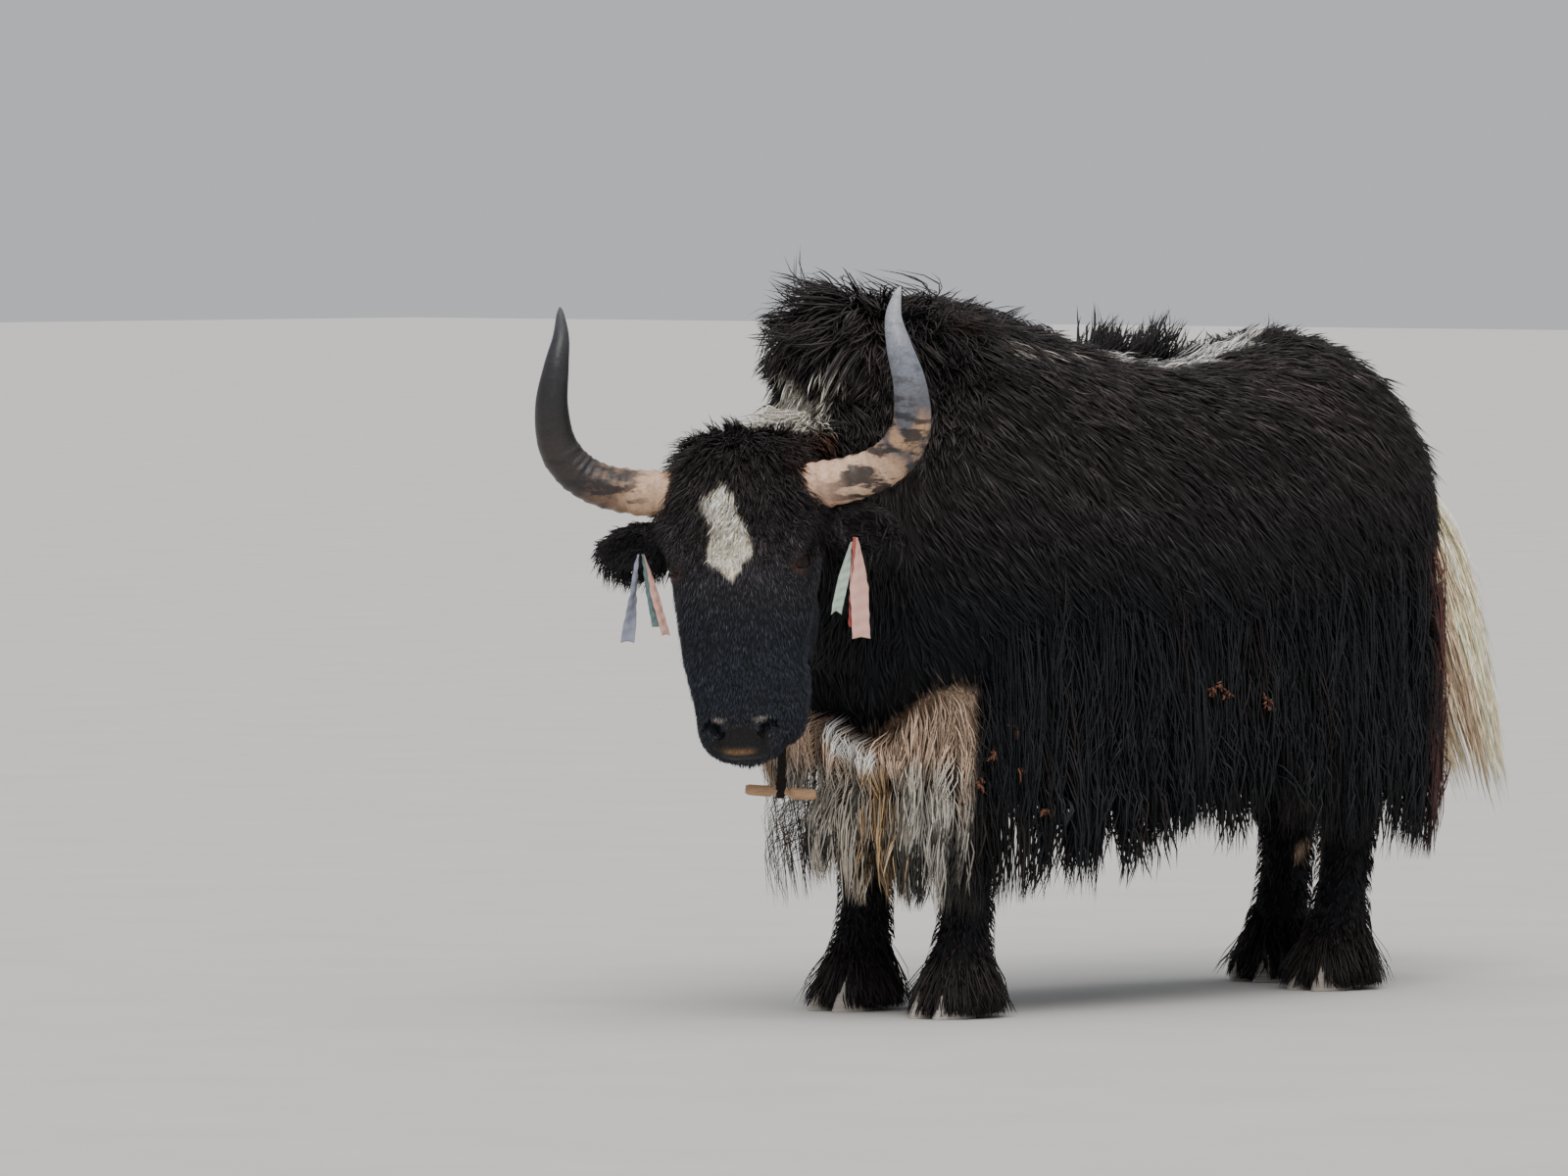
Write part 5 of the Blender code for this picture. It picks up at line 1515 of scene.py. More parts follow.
def body_lie(points: Array) -> Array:
    """The lie of the coat on the body: back and down, and forward and down over the front of the hump."""
    front = ramp(-points[:, 0], 0.62, 0.74) * ramp(points[:, 2], 1.0, 1.1)
    flank = ramp(points[:, 2], 0.5, 0.8)
    side = np.sign(points[:, 1]) * np.minimum(np.abs(points[:, 1]) / 0.08, 1)
    back = rows_of(0.62 * flank, 0.35 * side, -0.9)
    ahead = rows_of(-0.75, 0.45 * side, -0.55)
    chest = ramp(-points[:, 0], 0.72, 0.84)[:, None]
    down = np.array([-0.1, 0.0, -1.0])
    found = back + (ahead - back) * front[:, None]
    return found + (down - found) * (chest * (1 - front[:, None]))


@dataclass
class Coat:
    """Hair of one kind on its bed."""

    bed: Bed
    markings: Markings
    finish: Finish
    slot: ClassVar[str] = "black_coat"

    def grow(
        self,
        growth: Growth,
        sown: Sown,
        lie: Array,
        chance: Chance,
        lengths: Array | None = None,
        tone: Tone | None = None,
    ) -> Strands:
        """Grows tufts in the markings' colours, or in a tone of their own."""
        return growth.grow(self.bed, sown, lie, tone or self.markings.colours, chance, lengths)

    def show(self, strands: Strands, name: str, flatness: float = 0.42, blunt: float = 0.75) -> None:
        """Meshes tufts and sets them in the frame as one piece."""
        hand_over(strands.mesh(name, flatness, blunt), self.slot, self.finish)


@dataclass
class BodyCoat(Coat):
    """The shaggy coat of the trunk and neck, region by region."""

    count: int = 31000
    crest_count: int = 2300
    standing_count: int = 420
    growth: Growth = field(default_factory=lambda: Growth(0.078, 0.0052, 9, 2, 0.2, 0.13, 0.35, 0.62, 13))

    def regions(self, points: Array) -> dict[str, Array]:
        """Which region each root belongs to.

        Args:
            points: The roots.

        Returns:
            A mask for each region's name.
        """
        x, left = points[:, 0], points[:, 1] < 0
        parts = {"neck": x < -0.86}
        spans = {"shoulder": (-0.86, -0.3), "flank": (-0.3, 0.36), "haunch": (0.36, 2.0)}
        for name, (start, end) in spans.items():
            within = (x >= start) & (x < end)
            parts[f"{name}_left"] = within & left
            parts[f"{name}_right"] = within & ~left
        return parts

    def build(self) -> None:
        """Grows the coat and sets its pieces in the frame."""
        chance = np.random.default_rng(101)
        middles = self.bed.middles
        local = head_places(middles)
        off_head = (local[:, 0] > 0.1) | (middles[:, 0] > -0.98)
        off_tail = ramp(0.8 - middles[:, 0], 0, 0.02)
        weight = ramp(middles[:, 2], 0.44, 0.52) * off_head * off_tail
        weight *= 0.45 + 0.55 * ramp(middles[:, 2], 0.6, 0.8)
        sown = self.bed.sow(weight, self.count, chance)
        roots, normals, _ = sown
        high = ramp(roots[:, 2], 0.9, 1.25)
        spine = ramp(normals[:, 2], 0.75, 0.95) * ramp(roots[:, 2], 1.12, 1.2)
        bib = self.markings.bib(roots - (0, 0, 0.05))
        lengths = (0.072 + 0.012 * high - 0.01 * spine) * (1 - 0.5 * bib)
        strands = self.grow(self.growth, sown, body_lie(roots), chance, lengths)
        for name, mask in self.regions(roots).items():
            self.show(strands.chosen(mask), f"coat_{name}")
        self.crest(chance)

    def crest(self, chance: Chance) -> None:
        """Raises loose tufts along the spine and over the top of the hump."""
        middles = self.bed.middles
        ridge = ramp(middles[:, 2] - 1.19, 0, 0.04) * ramp(0.11 - np.abs(middles[:, 1]), 0, 0.08)
        sown = self.bed.sow(ridge, self.crest_count, chance)
        loose = Growth(0.052, 0.0042, 24, 3, 0.2, 0.3, 0.4, 0.75, 16)
        self.show(self.grow(loose, sown, body_lie(sown[0]), chance), "coat_crest")
        spot = ramp(0.13 - np.abs(middles[:, 0] - 0.035), 0, 0.06)
        spot = spot * ramp(0.055 - np.abs(middles[:, 1] - 0.01), 0, 0.04)
        sown = self.bed.sow(ridge * spot, self.standing_count, chance)
        upright = Growth(0.092, 0.0046, 52, 3, 0.02, 0.3, 0.45, 0.8, 9)
        self.show(self.grow(upright, sown, body_lie(sown[0]), chance, tone=self.standing_tone), "standing_tuft")

    def standing_tone(self, points: Array) -> Array:
        """The dark brown of the tuft that stands up behind the hump."""
        return np.tile([0.0075, 0.0055, 0.0055], (len(points), 1))


@dataclass
class Mane(Coat):
    """The thick hair over the front of the hump, the crest of the neck and the throat."""

    count: int = 4600
    ruff_count: int = 1100
    throat_count: int = 1800

    def build(self) -> None:
        """Grows the mane and the throat's hair."""
        chance = np.random.default_rng(202)
        middles = self.bed.middles
        near = 1 - ramp(far_from(middles, (-0.745, 0, 1.2), (0.24, 0.24, 0.24)), 0.85, 1.1)
        weight = near * ramp(middles[:, 2], 1.02, 1.08)
        sown = self.bed.sow(weight, self.count, chance)
        roots = sown[0]
        out = unit(roots - np.array([-0.66, 0, 1.15]))
        lie = unit(rows_of(out[:, 0] - 0.45, out[:, 1] * 1.1, out[:, 2] * 0.35 - 0.6))
        thick = Growth(0.125, 0.005, 28, 4, 0.3, 0.16, 0.3, 0.8, 22)
        lengths = 0.045 + 0.085 * ramp(roots[:, 2], 1.15, 1.3)
        self.show(self.grow(thick, sown, lie, chance, lengths), "mane")
        ruff = 1 - ramp(far_from(middles, (-0.915, 0, 1.135), (0.11, 0.17, 0.08)), 0.8, 1.1)
        sown = self.bed.sow(ruff * (head_places(middles)[:, 0] > 0.08), self.ruff_count, chance)
        outward = np.sign(sown[0][:, 1]) * ramp(np.abs(sown[0][:, 1]), 0.01, 0.07)
        lie = rows_of(-0.55, 0.9 * outward, -0.25)
        full = Growth(0.092, 0.0042, 36, 3, 0.3, 0.2, 0.35, 0.7, 16)
        self.show(self.grow(full, sown, lie, chance), "neck_ruff")
        weight = ramp(-middles[:, 0], 0.84, 0.9) * (head_places(middles)[:, 0] > 0.06)
        weight = weight * ramp(middles[:, 2], 0.66, 0.72)
        sown = self.bed.sow(weight, self.throat_count, chance)
        lengths = 0.06 + 0.03 * ramp(-sown[1][:, 2], -0.1, 0.5)
        lie = np.tile([0.15, 0.0, -1.0], (len(lengths), 1))
        loose = Growth(0.1, 0.005, 14, 3, 0.5, 0.2, 0.3, 0.65, 14)
        self.show(self.grow(loose, sown, lie, chance, lengths), "throat_hair")


@dataclass
class HangingHair(Coat):
    """The long hair that hangs from the chest, the flanks and the haunches."""

    strands_a_side: int = 6000
    segments: int = 6
    layers: int = 5
    lock_spacing: float = 0.02
    width: float = 0.0045
    bib_share: float = 0.36
    right_hem: float = 0.17
    probe_start: float = 0.12
    probe_reach: float = 0.32
    hollow: float = -0.1
    chest_tones: Stops = (
        (0.0, (0.4, 0.36, 0.31)), (0.1, (0.38, 0.34, 0.28)), (0.122, (0.33, 0.215, 0.11)),
        (0.165, (0.34, 0.23, 0.125)), (0.188, (0.47, 0.44, 0.38)), (0.3, (0.42, 0.39, 0.34)),
        (0.325, (0.05, 0.032, 0.025)), (0.42, (0.028, 0.018, 0.015)), (0.47, (0.0042, 0.0042, 0.005)),
    )
    rust: Colour = (0.05, 0.022, 0.015)
    fringe: Colour = (0.1, 0.036, 0.026)
    wisps: Colour = (0.06, 0.042, 0.032)

    def line(self, side: Side) -> tuple[Array, Array, Array]:
        """The hair line of one side.

        Args:
            side: Which side.

        Returns:
            Its rows, the directions outwards and the distance along it.
        """
        rows = rows_through(HAIR_LINE, 301)
        rows[:, 1] *= side.value
        runs = unit(np.gradient(rows[:, :2], axis=0))
        outward = np.column_stack([-runs[:, 1], runs[:, 0]]) * side.value
        far = np.concatenate([[0], np.cumsum(np.linalg.norm(np.diff(rows[:, :2], axis=0), axis=1))])
        return rows, outward, far

    def surface_depth(self, spots: Array, outward: Array, heights: Array) -> Array:
        """How far behind the hair line the skin lies.

        Args:
            spots: Places on the hair line.
            outward: The directions outwards there.
            heights: The heights looked at.

        Returns:
            The signed distance, negative inside the line.
        """
        found = np.empty(len(spots))
        for i, (spot, out, height) in enumerate(zip(spots, outward, heights)):
            aim = Vector((-out[0], -out[1], 0))
            start = Vector((spot[0], spot[1], height)) - aim * self.probe_start
            hit, _, _, far = self.bed.tree.ray_cast(start, aim, self.probe_reach)
            found[i] = self.probe_start - far if hit else self.hollow
        return found

    def at(self, rows: Array, far: Array, places: Array) -> Array:
        """Flat rows of the hair line at distances along it."""
        return np.column_stack([np.interp(places, far, rows[:, i]) for i in range(2)])

    def hang(self, side: Side, chance: Chance) -> tuple[Strands, Array]:
        """Grows one side's hair.

        Args:
            side: Which side.
            chance: The random draw.

        Returns:
            The strands, and how far along the body each is rooted.
        """
        rows, outward, far = self.line(side)
        total = far[-1]
        count = self.strands_a_side
        level = chance.random(count)
        layer = (level * self.layers).astype(int)
        locks = int(total / self.lock_spacing)
        share = 1 + 1.3 * ramp(-(np.arange(locks) + 0.5) / locks * total, -0.36, -0.28)
        lock = chance.choice(locks, count, p=share / share.sum())
        draw = chance.uniform(-1, 1, (self.layers * locks, 7))[layer * locks + lock]
        own = chance.uniform(-1, 1, (count, 7))
        wide = locks // 3 + 1
        sweep = chance.uniform(-1, 1, (self.layers * wide, 3))[layer * wide + lock // 3]
        middle = np.clip((lock + 0.5 + 0.6 * draw[:, 0]) / locks * total, 0, total)
        hub = np.clip((lock // 3 * 3 + 1.5 + 1.2 * sweep[:, 0]) / locks * total, 0, total)
        root_at = np.clip(middle + own[:, 0] * self.lock_spacing * 1.3, 0, total)
        x_root = np.interp(root_at, far, rows[:, 0])
        front = ramp(-x_root, 0.58, 0.72)
        high = np.interp(root_at, far, rows[:, 2])
        high = high + (np.minimum(high, 0.53) - high) * front
        low = np.interp(middle, far, rows[:, 3])
        chest = 1 - ramp(root_at, 0.4, 0.52)
        if side is Side.RIGHT:
            hem = self.right_hem * ramp(middle, 0.02, 0.09) * (1 - ramp(middle, 0.52, 0.66))
            low = low + hem * (own[:, 3] > -0.8)
        fall = high - low
        start = 0.02 + 0.5 * level
        root_z = high - fall * (start + 0.2 * own[:, 1] + 0.14 * draw[:, 3])
        finish = np.minimum(0.52 + 0.75 * level, 1.0)
        swell = 0.6 * np.sin(middle * 44 + 2.1 * side.value) + 0.4 * np.sin(middle * 71 + 1.3)
        tip_z = high - fall * finish + 0.02 * swell + 0.022 * draw[:, 1]
        tip_z = tip_z + 0.045 * sweep[:, 1] + 0.045 * np.abs(own[:, 2])
        tip_z = np.maximum(tip_z, low - 0.03 - 0.015 * sweep[:, 2] + 0.008 * draw[:, 0])
        root_z = np.maximum(root_z, tip_z + 0.09)
        spots, outs = self.at(rows, far, root_at), self.at(outward, far, root_at)
        on_bib = (level < self.bib_share) & (root_at < 0.36) & (self.markings.aslant(spots) < -0.262)
        bib_high = self.markings.bib_edge(spots)
        bib_z = bib_high - (bib_high - 0.5) * level / self.bib_share + 0.012 * own[:, 1]
        root_z = np.where(on_bib, bib_z, root_z)
        tip_z = np.where(on_bib, root_z - 0.085 - 0.025 * draw[:, 1], tip_z)
        skin_depth = self.surface_depth(spots, outs, root_z)
        back = ramp(x_root, -0.55, 0.1)
        free = 1 - 0.65 * chest
        drift = 0.018 * draw[:, 2] + 0.03 * sweep[:, 2] + 0.022 * back + 0.02 * np.sin(middle * 19 + side.value)
        drift = drift * free
        plane = -0.004 - 0.034 * level * (own[:, 4] > 0.1) + 0.009 * draw[:, 4]
        plane = plane + 0.01 * sweep[:, 1] + 0.004 * own[:, 3]
        wave = 0.018 * (0.6 + 0.4 * draw[:, 6]) * (1 - 0.45 * chest)
        size = root_z - tip_z
        paths = []
        for k in range(self.segments + 1):
            t = k / self.segments
            gather = 1 - (0.8 + 0.12 * draw[:, 5]) * t**1.3
            curl = 2 * math.pi * size * t / SHORT_WAVE + 3.1 * draw[:, 3]
            sway = wave * np.sin(curl + 0.5 * own[:, 5]) * t**0.7
            drawn = middle + (hub - middle) * (0.6 * t**1.6) * free
            at = np.clip(drawn + (root_at - middle) * gather + drift * t**1.4 + sway, 0, total)
            spot, out = self.at(rows, far, at), unit(self.at(outward, far, at))
            ease = ramp(np.full(count, t), 0.0, 0.45)
            tuck = 0.02 * t**2 * (1 + 0.7 * own[:, 6]) + 0.3 * wave * np.cos(curl) * t
            held = np.maximum(plane, skin_depth + 0.005)
            held = held + (plane - held) * (front * ramp(np.full(count, t), 0.25, 0.6))
            depth = (skin_depth - 0.003) * (1 - ease) + held * ease - tuck
            z = root_z - size * (0.82 * t + 0.18 * t * t)
            paths.append(np.column_stack([spot + out * depth[:, None], z]))
        paths = np.stack(paths, axis=1)
        ends = np.column_stack([unit(outs), np.zeros(count)])
        across = np.cross(ends, np.tile([0.0, 0.0, -1.0], (count, 1)))
        widths = self.width * (1 + 0.35 * own[:, 2]) * (1 - 0.42 * chest) * (1 + 0.3 * (level > 0.6))
        tones = self.tones(paths, middle, draw, own)
        keep = np.ones(count, bool)
        if side is Side.RIGHT:
            wispy = (root_at > 0.03) & (root_at < 0.4) & ~on_bib
            widths = np.where(wispy, widths * 0.75, widths)
            tones[wispy] = np.array(self.wisps) * np.exp(0.3 * own[wispy, 4])[:, None, None]
            keep = ~(wispy & (own[:, 3] > -0.75))
        strands = Strands(paths, across, widths, tones, self.bed.map_at(paths[:, 0]))
        return strands.chosen(keep), x_root[keep]

    def tones(self, paths: Array, middle: Array, draw: Array, own: Array) -> Array:
        """The strands' colours at each point of their paths.

        Args:
            paths: The strands' paths.
            middle: How far along the hair line their locks hang.
            draw: Their locks' random numbers.
            own: Their own random numbers.

        Returns:
            A colour for each point of each path.
        """
        stops = np.array([stop for stop, _ in self.chest_tones])
        shades = np.array([shade for _, shade in self.chest_tones])
        place = middle + 0.02 * own[:, 5] + 0.012 * draw[:, 5]
        chest = np.column_stack([np.interp(place, stops, shades[:, i]) for i in range(3)])
        dark = (0.6 * draw[:, 2] + 0.4 * own[:, 6] > 0.3)[:, None] * (0.55 + 0.3 * (place < 0.11)[:, None])
        chest = chest * (1 - dark * 0.9)
        # Painted shade: for most locks the low chest strands darken to black below about 0.4 m, standing in for the
        # shade under the chest and the dark legs seen between the strands.
        deep = (draw[:, 3] > -0.05) & ((place < 0.115) | (place > 0.175)) | (draw[:, 3] > 0.75)
        border = np.where(place < 0.315, 0.475, 0.365) + 0.02 * draw[:, 6]
        tipped = (draw[:, 5] > 0.84) * 0.4
        found = []
        for k in range(self.segments + 1):
            points = paths[:, k]
            shade = self.markings.colours(points)
            share = (place < 0.47) * (1 - ramp(points[:, 2], border - 0.03, border + 0.03))
            sunk = deep * 0.92 * (1 - ramp(points[:, 2], 0.33, 0.41))
            shade = shade + (chest * (1 - sunk)[:, None] - shade) * share[:, None]
            rusty = tipped * (0.4 + 0.6 * k / self.segments) * (place >= 0.47)
            shade = shade + (np.array(self.rust) - shade) * rusty[:, None]
            behind = points[:, 0] + 0.085 * (points[:, 1] < 0)
            edge = 0.85 * ramp(behind, 0.7, 0.79) * (own[:, 5] > -0.5)
            found.append(shade + (np.array(self.fringe) - shade) * edge[:, None])
        tone = np.exp(0.5 * draw[:, 4] + 0.38 * own[:, 4] - 0.18 * (place > 0.47))[:, None, None]
        return np.stack(found, axis=1) * tone

    def build(self) -> None:
        """Grows both sides and sets their pieces in the frame."""
        chance = np.random.default_rng(303)
        spans = {"chest": (-9, -0.66), "fore": (-0.66, -0.05), "mid": (-0.05, 0.42), "hind": (0.42, 9)}
        for side in Side:
            strands, x_root = self.hang(side, chance)
            for name, (start, end) in spans.items():
                mask = (x_root >= start) & (x_root < end)
                self.show(strands.chosen(mask), f"hanging_{name}_{side.label}", 0.4, 0.6)


@dataclass
class MattedBits(Coat):
    """Small rusty knots of matted hair that cling in the hanging coat."""

    wads_each: int = 9
    sunk: float = 0.004
    places: tuple[Point, ...] = (
        (-0.135, -0.385, 0.605), (-0.112, -0.387, 0.612), (-0.09, -0.388, 0.6), (0.029, -0.382, 0.585),
        (0.04, -0.383, 0.57), (-0.655, -0.3, 0.5), (-0.59, -0.315, 0.47), (-0.683, -0.292, 0.446),
        (-0.545, -0.325, 0.39), (-0.61, -0.315, 0.545),
        (-0.5, 0.335, 0.49), (-0.2, 0.37, 0.55), (0.15, 0.385, 0.5), (0.35, 0.36, 0.58), (0.05, 0.385, 0.62),
    )

    def build(self) -> None:
        """Makes the knots as one piece."""
        chance = np.random.default_rng(404)
        paths, across, widths, roots, tips = [], [], [], [], []
        line = np.array(HAIR_LINE)[1:-2]
        for place in self.places:
            side = np.sign(place[1])
            place = (place[0], side * (np.interp(place[0], line[:, 0], line[:, 1]) - self.sunk), place[2])
            for _ in range(self.wads_each):
                start = np.array(place) + chance.normal(0, 0.0035, 3) * (1.8, 0.4, 1.0)
                run = np.array([chance.normal(0, 1.0), 0.1 * side, chance.normal(-0.5, 0.6)]) * 0.01
                bulge = np.array([0, 0.005 * side, 0])
                paths.append([start, start + run * 0.35 + bulge, start + run * 0.7 + bulge, start + run])
                across.append([1.0, 0.0, 0.0])
                widths.append(chance.uniform(0.005, 0.008))
                tone = chance.uniform(0.4, 1.2)
                roots.append(np.array([0.17, 0.066, 0.034]) * tone)
                tips.append(np.array([0.1, 0.042, 0.026]) * tone)
        paths = np.array(paths)
        maps = self.bed.map_at(paths[:, 0])
        strands = Strands(paths, np.array(across), np.array(widths), np.stack([roots, tips], axis=1), maps)
        self.show(strands, "matted_bits", 0.6)


@dataclass
class HeadCoat(Coat):
    """The short coat of the face, the shaggy poll and the hair of the ears."""

    head: HeadForm
    face_count: int = 22000
    poll_count: int = 6600
    ear_count: int = 3600

    def face(self, chance: Chance) -> None:
        """Lays the short fur of the face, finest on the muzzle."""
        local = head_places(self.bed.middles)
        on = (local[:, 0] < 0.05) & (local[:, 0] > -0.56) & (np.abs(local[:, 1]) < 0.19)
        on = on & (self.bed.middles[:, 0] < -0.97)
        keep = self.head.off_eyes(on * (1 - self.markings.nose_pad(local)), local, 0.027, 0.034)
        keep = keep * (1 + 0.8 * ramp(-local[:, 0], 0.25, 0.42))
        sown = self.bed.sow(keep, self.face_count, chance)
        place = head_places(sown[0])
        forehead = ramp(place[:, 0], -0.22, -0.05) * ramp(place[:, 2], 0.0, 0.05)
        lengths = 0.018 + 0.012 * forehead + 0.01 * ramp(-place[:, 2], 0.05, 0.14)
        lengths = self.head.off_eyes(lengths - 0.008 * ramp(-place[:, 0], 0.36, 0.46), place, 0.03, 0.065, 0.25)
        apart = 0.25 * np.sign(place[:, 1]) * ramp(np.abs(place[:, 1]), 0.02, 0.09)
        down = turned(unit(rows_of(-1.0, apart, -0.1)), HEAD_FRAME)
        short = Growth(0.016, 0.0015, 9, 2, 0.06, 0.12, 0.35, 0.35, 8, 0.0008, 0.001)
        strands = self.grow(short, sown, down, chance, lengths, self.face_tone)
        for name, mask in (("left", place[:, 1] < 0), ("right", place[:, 1] >= 0)):
            self.show(strands.chosen(mask), f"face_fur_{name}", 0.4)

    def face_tone(self, points: Array) -> Array:
        """The face's colours, its black hair lifted to a blue grey as a painted sheen."""
        colours = self.markings.colours(points)
        # Painted sheen: the black face hair is brightened 5.6 times to stand in for its blue-grey sheen.
        return colours * np.where(colours[:, :1] < 0.05, 5.6, 1.2)

    def poll_tone(self, points: Array) -> Array:
        """The poll's colours, rusty beside the left horn."""
        colours = self.markings.colours(points)
        place = head_places(points)
        rusty = ramp(-place[:, 1], 0.07, 0.11) * ramp(place[:, 0], -0.02, 0.03) * (colours[:, 0] < 0.1)
        return self.markings.mixed(colours, (0.04, 0.018, 0.013), 0.4 * rusty)

    def ear_tone(self, points: Array) -> Array:
        """The ears' colours, greyer on the left one's upper edge."""
        place = head_places(points, LEVEL_INVERSE)
        grey = ramp(place[:, 2] + 0.1, 0.02, 0.05) * (place[:, 1] < 0)
        return self.markings.mixed(self.markings.colours(points), (0.03, 0.03, 0.032), 0.5 * grey)

    def poll(self, chance: Chance) -> None:
        """Heaps the shaggy hair of the poll between the horns and over the forehead."""
        local = head_places(self.bed.middles)
        top = (local[:, 0] < 0.14) & (np.abs(local[:, 1]) < 0.15) & (self.bed.middles[:, 0] < -0.98)
        weight = top * ramp(local[:, 2], -0.04, 0.03) * ramp(local[:, 0], -0.19, -0.07)
        weight = weight + top * ramp(local[:, 0], 0.04, 0.09)
        for side in Side:
            root = HEAD_LEVEL @ Vector((0.0, 0.122 * side.value, 0.0))
            weight = weight + 1.6 * top * (1 - ramp(far_from(self.bed.middles, root), 0.05, 0.08))
        sown = self.bed.sow(weight, self.poll_count, chance)
        place = head_places(sown[0])
        behind = ramp(place[:, 0], 0.02, 0.08)
        sideways = place[:, 1] / 0.1
        lie = rows_of(-0.85 + 0.95 * behind, sideways * (0.75 + 0.3 * behind), 0.1 + 0.9 * behind)
        lengths = self.head.off_eyes(0.06 - 0.04 * ramp(-place[:, 0], 0.0, 0.14), place, 0.035, 0.075, 0.35)
        shaggy = Growth(0.06, 0.003, 22, 3, 0.22, 0.26, 0.35, 0.66, 13, 0.003)
        self.show(self.grow(shaggy, sown, turned(lie, HEAD_FRAME), chance, lengths, self.poll_tone), "poll_hair")

    def ears(self, chance: Chance) -> None:
        """Dresses the ears, with a long fringe under each."""
        middles = self.bed.middles
        beside = head_places(middles, LEVEL_INVERSE)
        out = np.abs(beside[:, 1])
        on = (out > 0.142) & (out < 0.32) & (beside[:, 2] > -0.16) & (beside[:, 2] < -0.02)
        on = on & (middles[:, 0] < -0.9) & (np.abs(beside[:, 0]) < 0.07)
        sown = self.bed.sow(on.astype(float), self.ear_count, chance)
        place = head_places(sown[0], LEVEL_INVERSE)
        side = np.sign(place[:, 1])
        under = ramp(-(place[:, 2] + 0.095), -0.005, 0.025)
        lie = turned(rows_of(0.2, side * (1.0 - 0.5 * under), -0.25 - 0.9 * under), HEAD_LEVEL)
        fringe = Growth(0.03, 0.0026, 16, 2, 0.3, 0.2, 0.45, 0.6, 10, 0.0015, 0.001)
        self.show(self.grow(fringe, sown, lie, chance, 0.02 + 0.026 * under, self.ear_tone), "ear_hair")

    def build(self) -> None:
        """Dresses the whole head."""
        chance = np.random.default_rng(505)
        self.face(chance)
        self.poll(chance)
        self.ears(chance)


@dataclass
class LegCoat(Coat):
    """The short hair of the lower legs, which falls in a long bell over each hoof."""

    short: int = 2100
    long: int = 1900
    bell_top: float = 0.15
    short_clear: float = 0.006
    long_clear: float = 0.004

    def build(self) -> None:
        """Dresses the four legs."""
        middles = self.bed.middles
        for index, foot in enumerate(Foot):
            chance = np.random.default_rng(606 + index)
            near = (np.abs(middles[:, 0] - foot.value[0]) < 0.2) & (middles[:, 1] * foot.side > 0.0)
            weight = near * (1 - ramp(middles[:, 2], 0.46, 0.56))
            sown = self.bed.sow(weight.astype(float), self.short, chance)
            lie = np.tile([0.05, 0.0, -1.0], (len(sown[0]), 1))
            smooth = Growth(0.031, 0.0041, 9, 2, 0.15, 0.1, 0.3, 0.35, 10, 0.0065)
            strands = self.grow(smooth, sown, lie, chance, tone=self.tinted)
            strands.paths[:, :, 2] = np.maximum(strands.paths[:, :, 2], self.short_clear)
            self.show(strands, f"leg_hair_{foot.label}")
            self.bell(foot, near, chance)

    def tinted(self, roots: Array) -> Array:
        """The brown black of the lower legs at their roots."""
        colours = self.markings.colours(roots)
        low = 1 - ramp(roots[:, 2], 0.1, 0.3)
        return self.markings.mixed(colours, (0.014, 0.008, 0.007), (0.2 + 0.6 * low) * (colours[:, 0] < 0.05))

    def bell(self, foot: Foot, near: Array, chance: Chance) -> None:
        """Hangs the long hair of one fetlock over its hoof.

        Args:
            foot: Which foot.
            near: Which triangles of the skin are this leg's.
            chance: The random draw.
        """
        middles = self.bed.middles
        weight = near * (1 - ramp(middles[:, 2], self.bell_top - 0.05, self.bell_top))
        roots, normals, maps = self.bed.sow(weight.astype(float), self.long, chance)
        centre = np.array([foot.value[0] - 0.03, foot.value[1], 0])
        out = unit((roots - centre) * (1, 1, 0))
        ahead = ramp(-out[:, 0], 0.62, 0.97)
        lie = np.array([0, 0, -1.0]) + out * (0.3 + 0.5 * ahead)[:, None]
        lengths = np.clip((roots[:, 2] - 0.001 - 0.003 * ahead) * (1.18 + 0.16 * ahead), 0.024, 0.11)
        shag = Growth(0.06, 0.0042, 15, 3, 0.42, 0.12, 0.16, 0.45, 10, 0.003)
        strands = self.grow(shag, (roots, unit(normals + out), maps), lie, chance, lengths, self.tinted)
        strands.paths[:, -1, :2] -= out[:, :2] * 0.006
        strands.paths[:, :, 2] = np.maximum(strands.paths[:, :, 2], self.long_clear)
        self.show(strands, f"fetlock_hair_{foot.label}")


